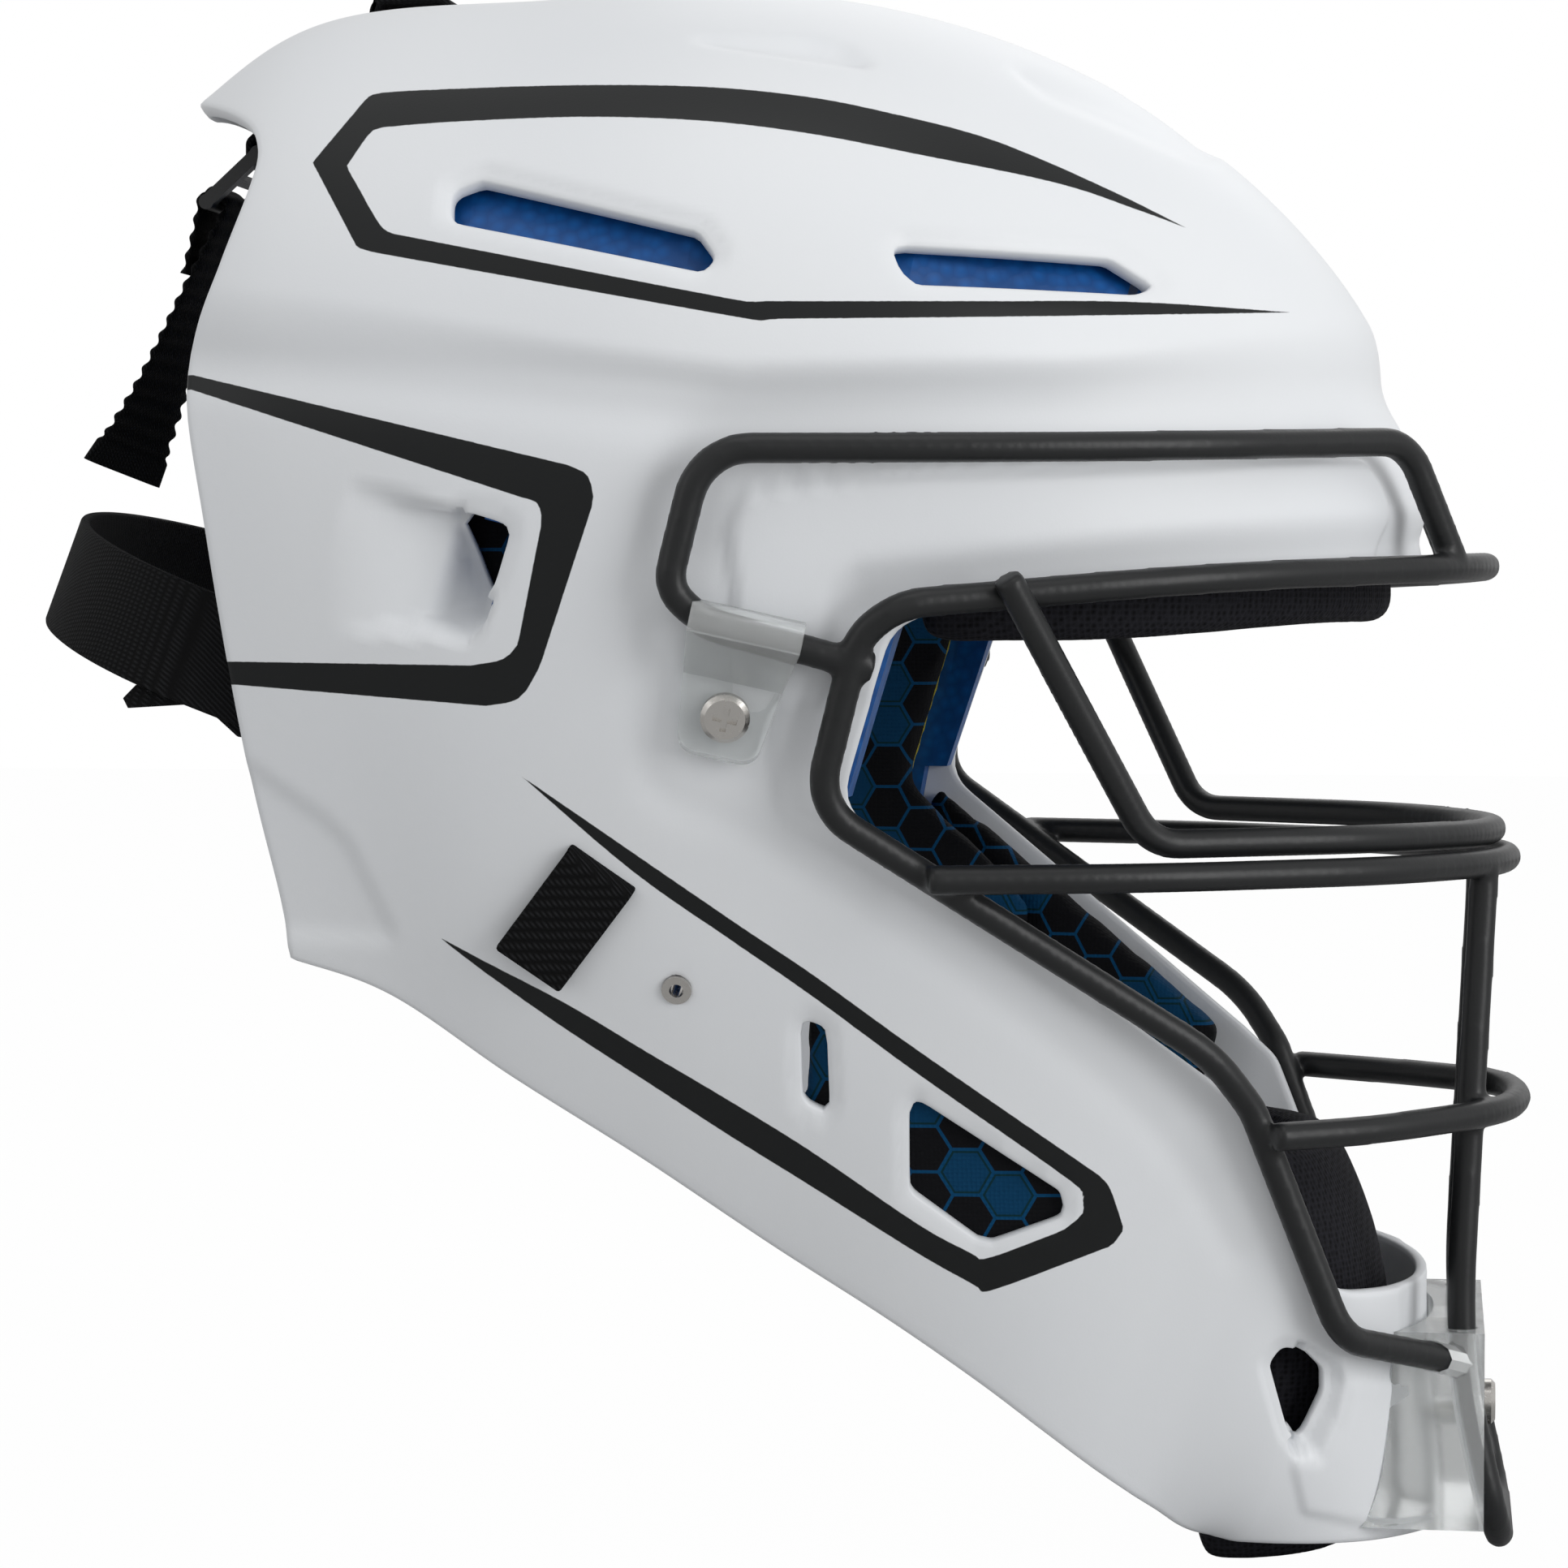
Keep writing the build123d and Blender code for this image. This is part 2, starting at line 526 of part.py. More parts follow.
def liner_and_pads():
    """Foam liner against the shell, and the fabric pads stacked on it."""
    seat = LINING - CLEAR
    under = seat - LINER - CLEAR
    crown = right_layer(range(1, 6), seat, seat - LINER, -.56, .56)
    webbing_room = Pos(CROWN_SLOT_SHARES[1] * SHELL_LENGTH - SHELL_LENGTH / 2 + 2 * CLEAR, 0,
                       CROWN_TOP) * Box(SHELL_LENGTH + 4 * WEBBING, WEBBING_WIDTH + 4 * CLEAR,
                                        4 * LINER)
    parts = {"liner_crown": largest(crown - webbing_room),
             "crown_pad": right_layer(range(2, 5), under, under - CROWN_PAD, -.3, .3,
                                      cushion=True)}
    inner = seat - SIDE_LINER
    liner = right_layer(range(1, 6), seat, inner, .64, .88, steps=6)
    nut_pocket = CLIP_PLANE * Cylinder(NUT_FLANGE / 2 + CLEAR, 4 * NUT_FLANGE_THICKNESS + 2 * WALL)
    tab_room = TAB_PLANE * Box(TAB_WIDTH + 4 * CLEAR, SLOT_GAP + WEBBING, 4 * WALL)
    jaw_room = outline_prism(JAW_ROOM_SHARES)
    for cutter in (outline_prism(OPENING_SHARES), outline_prism(SCOOP_SHARES),
                   outline_prism(SIDE_VENT_SHARES), outline_prism(BROW_ROOM_SHARES),
                   jaw_room, nut_pocket, tab_room):
        liner = largest(liner - cutter)
    foam_top = inner - CLEAR / 2
    pad_top = foam_top - FOAM - CLEAR / 2
    edge = outline_prism(PAD_EDGE_SHARES)
    foam = right_layer(range(3, 6), foam_top, foam_top - FOAM, *PAD_SPAN, steps=6)
    pad = right_layer(range(1, 6), pad_top, pad_top - SIDE_PAD, *PAD_SPAN, steps=6,
                      cushion=True)
    jaw = right_layer(range(4, 10), seat, seat - JAW_PAD, .54, .97, steps=6, cushion=True)
    right = {"liner_side": liner, "foam_side": largest(foam - edge - jaw_room),
             "side_pad": largest(pad - edge),
             "jaw_pad": largest(jaw & outline_prism(JAW_PAD_SHARES))}
    for name, part in right.items():
        parts[name + "_right"], parts[name + "_left"] = part, mirrored(part)
    parts["brow_pad"] = ring_cushion(BROW_PAD_SHARES, BROW_ROUNDNESS, BROW_PAD)
    parts["chin_pad"] = ring_cushion(CHIN_PAD_SHARES, CHIN_ROUNDNESS, CHIN_PAD)
    return parts


# Webbing, straps and their hardware

LOCK_BAR_POINT = Vector(side(LOCK_BAR_SHARES)[0], 0, side(LOCK_BAR_SHARES)[1])
LOCK_PLANE = Plane(origin=LOCK_BAR_POINT, x_dir=(-cos(radians(LOCK_SLOPE)), 0,
                                                 -sin(radians(LOCK_SLOPE))),
                   z_dir=(-sin(radians(LOCK_SLOPE)), 0, cos(radians(LOCK_SLOPE))))
BIGHT = LOCK_BAR / 2 + RUN_CLEAR + WEBBING / 2       # bend of webbing round a bar
STRAP_EYE = LOCK_BAR / 2 + RUN_CLEAR + STRAP / 2     # bend of the strap round its bar
LOWER_BAR = LOCK_LENGTH - LOCK_BAR                   # from the top bar's axis
LOWER_BAR_POINT = LOCK_PLANE.from_local_coords(Vector(LOWER_BAR, 0, 0))


def crown_loop():
    """Anchor webbing: up one slot, over the crown, down the other, and round the lock's bar."""
    rear, front = [share * SHELL_LENGTH for share in CROWN_SLOT_SHARES]
    top, under = CROWN_TOP + LOOP_HUMP, CROWN_TOP - WALL - LOOP_HUMP
    bar = LOCK_BAR_POINT
    knee = Vector((rear + bar.X) / 2, 0, under - 2 * WEBBING)
    bight = Vector(bar.X - BIGHT, 0, bar.Z + BIGHT)
    end = (knee + bight) / 2 - Vector(0, 0, 3 * WEBBING / 2)
    points = [(rear, under + WEBBING), (rear, top), (front, top), (front, under - WEBBING),
              (knee.X, knee.Z), (bight.X, bight.Z), (bight.X, bar.Z - BIGHT),
              (bar.X + BIGHT, bar.Z - BIGHT), (end.X, end.Z)]
    return strip_along(points, WEBBING_WIDTH, WEBBING,
                       [BIGHT, BIGHT, BIGHT, BIGHT, BIGHT / 2, BIGHT, BIGHT])


def ladder_lock():
    """Buckle with a round bar at each end, a flat middle bar and two windows."""
    plate = Pos(LOWER_BAR / 2, 0) * Box(LOWER_BAR, LOCK_WIDTH, LOCK_THICKNESS)
    window = WEBBING_WIDTH + 2 * CLEAR + RUN_CLEAR
    plate = plate - Pos(LOWER_BAR / 2, 0) * Box(LOWER_BAR, window, 2 * LOCK_THICKNESS)
    bar = Rot(90, 0, 0) * Cylinder(LOCK_BAR / 2, LOCK_WIDTH)
    middle = Pos(LOWER_BAR / 2, 0) * Box(LOCK_BAR / 2, LOCK_WIDTH, LOCK_THICKNESS)
    return LOCK_PLANE * (plate + middle + bar + Pos(LOWER_BAR, 0) * bar)


def crown_strap():
    """Gathered elastic sewn round the lock's lower bar, turning as it hangs."""
    slope = radians(STRAP_SLOPE)
    down = Vector(-cos(slope), 0, -sin(slope))
    out = Vector(-sin(slope), 0, cos(slope))
    width = STRAP_WIDTH - STRAP / 2
    wires = []
    for k in range(STRAP_SECTIONS):                  # round the bar, from above to below
        turn = pi * k / (STRAP_SECTIONS - 1)
        spot = LOWER_BAR_POINT + (out * cos(turn) - down * sin(turn)) * STRAP_EYE
        ahead = out * -sin(turn) - down * cos(turn)
        plane = Plane(origin=spot, x_dir=(0, 1, 0), z_dir=ahead)
        wires.append((plane * Rectangle(width, STRAP)).wire())
    start = LOWER_BAR_POINT - out * STRAP_EYE
    for k in range(1, STRAP_SECTIONS + 1):           # the hanging length
        share = k / STRAP_SECTIONS
        across = Vector(0, 1, 0).rotate(Axis((0, 0, 0), down), STRAP_TWIST * share ** 2)
        plane = Plane(origin=start + down * (STRAP_LENGTH * share), x_dir=across, z_dir=down)
        wires.append((plane * Rectangle(width, STRAP)).wire())
    return Solid.make_loft(wires, True)


BAND_TOP, BAND_BACK = [Vector(side(s)[0], 0, side(s)[1]) for s in BAND_SHARES]
BAND_PLANE = Plane(origin=BAND_TOP, x_dir=BAND_BACK - BAND_TOP,
                   z_dir=(BAND_BACK - BAND_TOP).cross(Vector(0, 1, 0)))


def band_ring(inset, thickness, height):
    """Webbing round the back: half an ellipse with straight ends, of one height."""
    low = BAND_TOP - Vector(0, 0, BAND_HEIGHT)
    half = -side_point(low.X + BAND_TUCK / 2, low.Z, -WALL - 5 * CLEAR).Y - inset
    back = (BAND_BACK - BAND_TOP).length - inset
    edges = []
    for a, b in ((back, half), (back - thickness, half - thickness)):
        edges.append(EllipticalCenterArc((0, 0), a, b, start_angle=-90, arc_size=180))
    ends = []
    for sign in (-1, 1):
        outside, inside = (0, sign * half), (0, sign * (half - thickness))
        tuck_out, tuck_in = (-BAND_TUCK, outside[1]), (-BAND_TUCK, inside[1])
        ends += [Line(outside, tuck_out), Line(tuck_out, tuck_in), Line(tuck_in, inside)]
    face = BAND_PLANE * make_face(edges + ends)
    up = BAND_PLANE.z_dir if BAND_PLANE.z_dir.Z > 0 else BAND_PLANE.z_dir * -1
    return extrude(face, height, dir=up * -1)


def band_tail():
    strip = band_ring(BAND + RUN_CLEAR, WEBBING, 2 * BAND_HEIGHT)
    return largest(strip & outline_prism(TAIL_SHARES, far=0))


def jaw_tab():
    """Woven tab that comes out of a slot and lies down the outside of the jaw."""
    height = CLEAR + WEBBING / 2
    path = Wire(FilletPolyline((0, 0, -WALL - WEBBING), (0, 0, height), (0, TAB_LENGTH, height),
                               radius=WEBBING).edges())
    start = Plane(origin=path @ 0, x_dir=(1, 0, 0), z_dir=path % 0)
    return TAB_PLANE * sweep(start * Rectangle(TAB_WIDTH, WEBBING), path=path)


def eyelet():
    """Rolled eyelet through the jaw, with a lip on each face of the shell."""
    length = WALL + 2 * EYELET_LIP
    body = Pos(0, 0, -WALL / 2) * Cylinder(EYELET_BARREL / 2, length)
    gap = RUN_CLEAR / 3
    for z in (EYELET_LIP / 2 + gap, -WALL - EYELET_LIP / 2 - gap):
        body = body + Pos(0, 0, z) * Cylinder(EYELET_FLANGE / 2, EYELET_LIP)
    return EYELET_PLANE * (body - Cylinder(EYELET_BORE / 2, 4 * WALL))


def build():
    """Every node of the helmet by name."""
    loop, eye, cheek, mouth, chin, frame = cage_paths()
    frame_wire, chin_wire, loop_wire = wire(frame), wire(chin), wire(loop)
    cheek_wire, mouth_wire = weld(wire(cheek), loop_wire), wire(mouth)
    parts = {"shell": shell(), **liner_and_pads()}
    parts["cage_frame_right"] = weld(frame_wire, loop_wire)
    parts["cage_frame_left"] = mirrored(parts["cage_frame_right"])
    parts["cage_chin_bar"] = weld(chin_wire, cheek_wire, mouth_wire)
    parts["cage_loop"] = weld(loop_wire, chin_wire)
    parts["cage_eye_bar"], parts["cage_cheek_bar"] = weld(wire(eye), loop_wire), cheek_wire
    parts["cage_mouth_bar"] = weld(mouth_wire, parts["cage_loop"])
    parts["side_clip_right"] = side_clip(CLIP_PLANE, wire(frame, RUN_CLEAR / 2))
    parts["side_clip_left"] = mirrored(parts["side_clip_right"])
    parts["chin_clip"] = chin_clip([wire(p, RUN_CLEAR) for p in (chin, loop)], CHIN_PLANE)
    side_seat = RUN_CLEAR + 2 * CLIP_SHEET + RUN_CLEAR / 3
    chin_seat = parts["chin_clip"].bounding_box().max.X - CHIN_PLANE.origin.X + RUN_CLEAR / 3
    side_screw = screw(CLIP_PLANE, side_seat, side_seat + WALL + NUT_FLANGE_THICKNESS)
    chin_screw = screw(CHIN_PLANE, chin_seat, chin_seat + WALL + NUT_FLANGE_THICKNESS)
    nut = tee_nut(CLIP_PLANE)
    parts["clip_screws"] = Compound([side_screw, mirrored(side_screw), chin_screw])
    parts["tee_nuts"] = Compound([nut, mirrored(nut), tee_nut(CHIN_PLANE)])
    for name, make in (("jaw_eyelet", eyelet), ("jaw_tab", jaw_tab), ("band_tail", band_tail)):
        parts[name + "_right"] = make()
        parts[name + "_left"] = mirrored(parts[name + "_right"])
    parts["crown_loop"] = crown_loop()
    parts["ladder_lock"] = ladder_lock()
    parts["crown_strap"] = crown_strap()
    parts["rear_band"] = band_ring(0.0, BAND, BAND_HEIGHT)
    return parts


if __name__ == "__main__":
    os.makedirs("parts", exist_ok=True)
    for name, part in build().items():
        export_step(part, f"parts/{name}.step")
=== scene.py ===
"""Looks of the baseball catcher's helmet, in metres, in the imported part's frame.

Outlines that the camera sees on the shell are written in pixels of the 1932-pixel photograph,
and are mirrored to the far side. Through cuts are written as the part's own side-view shares.
"""
from math import cos, pi, radians, sin, tan

import bmesh
import bpy
import numpy as np
from mathutils import Matrix, Vector


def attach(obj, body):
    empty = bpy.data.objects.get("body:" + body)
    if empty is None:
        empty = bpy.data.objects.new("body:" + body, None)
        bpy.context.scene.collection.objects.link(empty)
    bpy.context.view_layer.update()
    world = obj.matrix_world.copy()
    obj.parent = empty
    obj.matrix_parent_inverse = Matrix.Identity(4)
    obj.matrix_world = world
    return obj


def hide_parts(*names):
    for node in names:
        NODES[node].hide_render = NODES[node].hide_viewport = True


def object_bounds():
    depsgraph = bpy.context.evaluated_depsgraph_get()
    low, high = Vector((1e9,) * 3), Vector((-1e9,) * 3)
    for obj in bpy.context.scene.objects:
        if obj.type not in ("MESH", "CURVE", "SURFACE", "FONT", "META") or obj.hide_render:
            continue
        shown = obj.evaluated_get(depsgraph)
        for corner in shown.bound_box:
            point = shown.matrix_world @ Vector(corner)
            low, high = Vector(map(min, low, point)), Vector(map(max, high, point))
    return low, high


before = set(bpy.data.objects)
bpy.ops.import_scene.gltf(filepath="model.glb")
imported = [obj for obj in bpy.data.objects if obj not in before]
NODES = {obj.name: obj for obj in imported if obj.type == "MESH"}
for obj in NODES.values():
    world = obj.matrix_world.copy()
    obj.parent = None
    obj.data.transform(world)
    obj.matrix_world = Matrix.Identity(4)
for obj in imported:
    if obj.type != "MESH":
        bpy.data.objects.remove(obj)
CAD_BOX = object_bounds()
MM = 0.001

# The camera, in the part's frame in millimetres
PHOTO = 1932                     # pixels across the photograph
AZIMUTH = radians(8.5)
ELEVATION = radians(2.25)
DISTANCE = 850.0
TARGET = np.array([10.0, 0.0, -58.0])
PIXEL = 0.16                     # millimetres in one pixel, at the target
SENSOR = 36.0

BACK = np.array([sin(AZIMUTH) * cos(ELEVATION), -cos(AZIMUTH) * cos(ELEVATION),
                 sin(ELEVATION)])
RIGHT = np.array([cos(AZIMUTH), sin(AZIMUTH), 0.0])
UP = np.cross(BACK, RIGHT)

# Shell, with the part's own ribs
SHELL_LENGTH = 240.0
SHELL_HEIGHT = 300.0
HALF_WIDTH = 107.0
WALL = 3.2
THINNEST = 2.0                   # wall that is left where the outside sinks
INSIDE_SHARE = 0.9               # of what stands out, seen again on the inside
RIB_ROUNDNESS = 2.2
RIB_TUCK = 1.7
ROWS_PER_RIB = 26
COLUMNS = 381
EDGE_ROUND = 1.3                 # radius of the moulded edges
EDGE_STEPS = 6
EDGE_SQUARENESS = 0.55
UNPAINTED = -9.0                 # pixels outside the painted bands
# (lower edge x, z), (crown x, z), (half width at the edge, at the widest), widest place
RIB_SHARES = [
    ((-.300, -.287), (-.413, .253), (.720, .897), .57),
    ((-.217, -.310), (-.308, .305), (.710, .953), .57),
    ((-.125, -.360), (-.138, .315), (.682, .990), .58),
    ((-.025, -.413), (.050, .317), (.626, .990), .60),
    ((.075, -.470), (.221, .287), (.561, .925), .62),
    ((.158, -.513), (.375, .223), (.533, .822), .60),
    ((.225, -.550), (.483, .140), (.514, .710), .57),
    ((.275, -.580), (.546, .047), (.500, .617), .53),
    ((.313, -.603), (.573, -.047), (.486, .561), .48),
    ((.342, -.620), (.588, -.200), (.467, .528), .44),
    ((.363, -.633), (.583, -.367), (.439, .500), .40),
    ((.383, -.647), (.577, -.507), (.402, .449), .36),
    ((.404, -.657), (.588, -.657), (.355, .374), .12),
]
RIDGE_SHARES = [(-.458, .092), (-.345, .089), (-.171, .075), (.068, .052), (.295, .057),
                (.408, .066), (.528, .080), (.667, .085)]
RIM_SHARES = [(-.294, -.300), (-.298, -.255), (-.314, -.176), (-.336, -.035), (-.349, .060),
              (-.324, .123), (-.306, .172), (-.306, .200), (-.333, .220), (-.420, .245)]
OPENING_SHARES = [(.700, -.057), (.552, -.060), (.354, -.071), (.240, -.079), (.182, -.086),
                  (.138, -.197), (.410, -.367), (.438, -.387), (.493, -.496), (.700, -.512)]
VENT_SHARES = [
    [(-.145, .166), (-.124, .172), (.040, .139), (.054, .124), (.046, .116), (-.143, .148)],
    [(.178, .132), (.329, .128), (.361, .112), (.350, .108), (.197, .110), (.186, .118)],
    [(-.139, -.020), (-.095, -.031), (-.117, -.082)],
    [(.101, -.325), (.120, -.330), (.119, -.384), (.099, -.376)],
    [(.180, -.371), (.291, -.432), (.295, -.447), (.238, -.464), (.227, -.462),
     (.177, -.432)],
    [(.458, -.529), (.448, -.540), (.466, -.596), (.487, -.560), (.487, -.545),
     (.475, -.533)]]
# The side vent opens past a slanted wall, between the first line and the vent
WALL_EDGE_SHARES = [(-.138, -.022), (-.170, -.092), (-.123, -.094)]
WALL_FOOT_SHARES = [(-.136, -.022), (-.117, -.082)]
EYELET_SHARES = (.010, -.306)
EYELET_ROOM = 2.2
OPENING_CORNER = 9.0
VENT_CORNER = 2.4

# Gathered crown strap, round the lower bar of the lock
STRAP_BAR = (-103.04, 0.0, 56.63)
STRAP_EYE = 2.7
STRAP_SLOPE = radians(65.0)
STRAP_LENGTH = 57.0
STRAP_WIDTH = 21.0
STRAP_THICKNESS = 2.0
STRAP_TWIST = radians(34.0)
STRAP_RIB = 3.7
STRAP_HEM = 5.5
STRAP_HEM_STEP = 0.8
STRAP_WAVE = 0.5
STRAP_LAP = [(15.0, -0.4), (7.0, 1.0)]     # down from the bar, and out
STRAP_BENDS = 7                  # points of its route round the bar
STRAP_SPANS = 6                  # of its route below the bar
STRAP_STATION = 0.3
# Half the width, then half the thickness: lost to the gathers, their height, the hem's gain
STRAP_LOSS = (1.1, 0.25)
STRAP_GATHER = (0.55, 0.3)
STRAP_HEM_GAIN = (0.9, 0.35)
TAPE_STEPS = 28
TAPE_SQUARENESS = (0.4, 0.8)

# Pads, wires and tapes made from the CAD pieces
WIRE_VOXEL = 0.75
WIRE_ROUNDS = 7
WIRE_SWELL = 0.12
TAPER_START = 72.0               # where the brow pad begins to thin towards its front
TAPER_RISE = 3.4
TAPER_BACK = 3.6
TAPE_EDGE = 0.5

# Dome: its step along the ridge is sharpest in the middle of the side
DOME_STEP = 2.2
DOME_SLOPE = (-0.7, 1.0)         # shares of the step's softness, below and over the ridge
DOME_SHARPEST = 35.0
DOME_SOFT = 3.5
DOME_SOFTER = 4.0                # added towards both ends
DOME_FADE = (30.0, 110.0)        # millimetres from the sharpest place

# Hollow under the ridge, deepest in a channel over the brow
DEEPEST = 2.5                    # clear of the liner behind it
HOLLOW_BELOW = 7.0               # millimetres under the ridge
HOLLOW_WIDTH = 4.5
HOLLOW_DEPTH = 1.0
HOLLOW_GAIN = 0.5                # over the brow
HOLLOW_START = (700, 950)        # pixels across, where the stretch over the brow begins
HOLLOW_FADE = (1150, 1550)
HOLLOW_LOSS = 0.65
CHANNEL_DEPTH = 3.2
CHANNEL_WIDTH = 6.5

# Relief seen on the near side, in photograph pixels. A shallow form is its outline, the
# radius of its corners in pixels, how far it sinks, and how soft its edge is.
TOP_RECESS = ([(825, 58), (1000, 64), (1036, 72), (1072, 96)], 12, 1.5, 1.6)
BROW_RECESS = ([(1238, 92), (1282, 130), (1452, 202), (1494, 210), (1474, 182), (1382, 138)],
               14, 1.4, 1.8)
JAW_FACET = ([(285, 930), (398, 1010), (428, 1040), (488, 1160), (330, 1150)], 12, 0.9, 2.2)
CHIN_FACET = ([(1591, 1800), (1606, 1862), (1690, 1880), (1768, 1878), (1756, 1790),
               (1735, 1700), (1668, 1702), (1652, 1760), (1630, 1800)], 10, -0.8, 1.2)
CHIN_CORNER = ([(1729, 1560), (1731, 1640), (1722, 1690), (1790, 1690), (1790, 1560)],
               8, 1.0, 1.5)
# A groove is its line, its depth and its half width
BROW_GROOVE = ([(940, 595), (1100, 578), (1300, 569), (1500, 561), (1680, 558)], 1.0, 0.9)
BED = ([(800, 780), (790, 900), (812, 975), (900, 1015), (1010, 1080), (1200, 1210),
        (1380, 1350), (1460, 1440), (1520, 1540)], 0.5, 3.5)
CREASE = ([(958, 850), (944, 903), (956, 965), (985, 1010), (1040, 1040), (1130, 1092),
           (1240, 1160), (1340, 1235)], 0.7, 1.8)
CHANNEL_LINE = [(826, 660), (842, 590), (890, 547), (1150, 532), (1700, 524)]
BROW_PANEL = [(902, 730), (893, 650), (918, 598), (1100, 582), (1300, 573), (1500, 565),
              (1682, 562), (1704, 600), (1716, 640), (1712, 700), (1730, 790), (900, 880)]
PANEL_CORNER = 22
PANEL_HEIGHT = 1.0
PANEL_EDGE = (-1.4, 0.2)
BROW_TURN = [(1003, 800), (1010, 724), (1043, 690), (1300, 662), (1500, 644), (1712, 628),
             (1800, 628), (1800, 800)]
TURN_CORNER = 40
TURN_DEPTH = 3.0
TURN_EDGE = (-1.0, 8.5)
SCOOP = [(430, 596), (555, 628), (629, 650), (588, 785), (508, 780), (372, 778)]
SCOOP_CORNER = 14
SCOOP_DEPTH = 7.0
SCOOP_SLOPE = (400, 600)         # pixels across, from its shallow end to its deep end
SCOOP_EDGE = (-1.4, 0.4)
CHIN_WALL_EDGE = [(1607, 1655), (1655, 1680), (1660, 1702), (1648, 1748), (1627, 1790),
                  (1600, 1794)]
CHIN_WALL_FOOT = [(1599, 1662), (1629, 1698), (1622, 1720), (1588, 1784)]
CHIN_WALL_DEPTH = 6.0
SIDE_WALL_DEPTH = 8.0
WALL_CURVE = 0.8
WALL_SOFT = (-0.6, 0.4)
VENT_DIP = 0.9                   # of the surface round a vent
VENT_DIP_EDGE = (0.2, 2.8)
VENT_DIP_CORNER = 2.0

# Painted bands, each between an outer and an inner outline of smooth runs that meet in
# corners. The first point of an inner outline is clear of the band, past its open side.
UPPER_BAND = (
    [[(1462, 281), (1380, 240), (1280, 195), (1200, 165), (1100, 140), (1000, 120),
      (870, 107), (700, 105), (500, 112), (455, 117)],
     [(455, 117), (385, 200)], [(385, 200), (440, 305)], [(440, 305), (460, 311)],
     [(460, 311), (905, 390), (935, 393)], [(935, 393), (1250, 390), (1592, 385)],
     [(1592, 385), (1462, 281)]],
    [[(1720, 290), (1592, 385)], [(1592, 385), (1400, 372), (1200, 371), (932, 371)],
     [(932, 371), (900, 368), (480, 287)], [(480, 287), (465, 272), (427, 205)],
     [(427, 205), (455, 165), (470, 157)],
     [(470, 157), (560, 150), (720, 144), (869, 149), (1000, 165), (1130, 190),
      (1300, 225), (1400, 258), (1462, 281)], [(1462, 281), (1720, 290)]])
REAR_BAND = (
    [[(229, 460), (700, 573)], [(700, 573), (724, 586), (732, 616)],
     [(732, 616), (665, 822)], [(665, 822), (640, 860), (600, 870)],
     [(600, 870), (283, 843)], [(283, 843), (229, 460)]],
    [[(150, 650), (220, 815)], [(220, 815), (279, 815), (580, 820)],
     [(580, 820), (620, 812), (638, 794)], [(638, 794), (668, 640)],
     [(668, 640), (662, 620), (640, 612)], [(640, 612), (180, 462)],
     [(180, 462), (150, 650)]])
JAW_BAND = (
    [[(642, 956), (900, 1133), (1000, 1200), (1132, 1295), (1354, 1448)],
     [(1354, 1448), (1368, 1465), (1385, 1515)], [(1385, 1515), (1370, 1535)],
     [(1370, 1535), (1225, 1589), (1205, 1586)],
     [(1205, 1586), (1132, 1545), (1000, 1462), (900, 1400), (800, 1335), (700, 1270),
      (600, 1200), (540, 1154)], [(540, 1154), (642, 956)]],
    [[(430, 1040), (540, 1154)],
     [(540, 1154), (600, 1186), (700, 1238), (800, 1298), (900, 1357), (1000, 1419),
      (1132, 1509), (1200, 1546)],
     [(1200, 1546), (1218, 1550), (1310, 1516)],
     [(1310, 1516), (1334, 1495), (1334, 1478)],
     [(1334, 1478), (1320, 1456), (1132, 1324), (1000, 1227), (900, 1158), (780, 1074),
      (642, 956)], [(642, 956), (430, 1040)]])

# Patterns of the materials
HEXAGON = 0.0087                 # metres between the middles of two hexagons
HEXAGON_LINE = 0.465             # from a hexagon's middle out, in spacings
HEXAGON_RIM = 0.42
HEXAGON_BLACK = 0.62             # share of the hexagons that aren't filled
WEAVE = 560.0                    # scale of the webbing's ribs

# Stage: its floor in millimetres, its lamps in metres
WORLD_LIGHT = 0.66
FLOOR_REACH = 4000.0
FLOOR_GAP = 0.2
FLOOR_COLOR = (0.45, 0.45, 0.45, 1)
FLOOR_GLOW = 0.985               # share of white glow in what the camera sees of it
# Name, place, size and power of each lamp; all of them point at the camera's target
LAMPS = [("front_soft", (1.2, -0.75, 0.22), (0.7, 0.9), 8.6),
         ("top_soft", (0.1, -0.45, 1.2), (0.9, 0.7), 2.0),
         ("rear_soft", (-1.1, -0.9, 0.3), (0.6, 1.0), 1.2),
         ("far_soft", (0.2, 1.3, 0.9), (1.0, 0.8), 2.5)]


# Numbers

def catmull(rows, u):
    """Smooth curve through rows of values, at places u counted in rows."""
    rows, u = np.asarray(rows, float), np.asarray(u, float)
    last = len(rows) - 1
    padded = np.vstack([2 * rows[0] - rows[1], rows, 2 * rows[-1] - rows[-2]])
    i = np.clip(u.astype(int), 0, last - 1)
    t = (u - i)[:, None]
    a, b, c, d = (padded[i + k] for k in range(4))
    return (2 * b + (c - a) * t + (2 * a - 5 * b + 4 * c - d) * t ** 2
            + (3 * b - 3 * c + d - a) * t ** 3) / 2


def smooth_run(points, per_span=6):
    count = (len(points) - 1) * per_span + 1 if len(points) > 2 else 2
    return catmull(points, np.linspace(0, len(points) - 1, count))


def outline_of(runs):
    return np.vstack([smooth_run(run)[:-1] for run in runs])


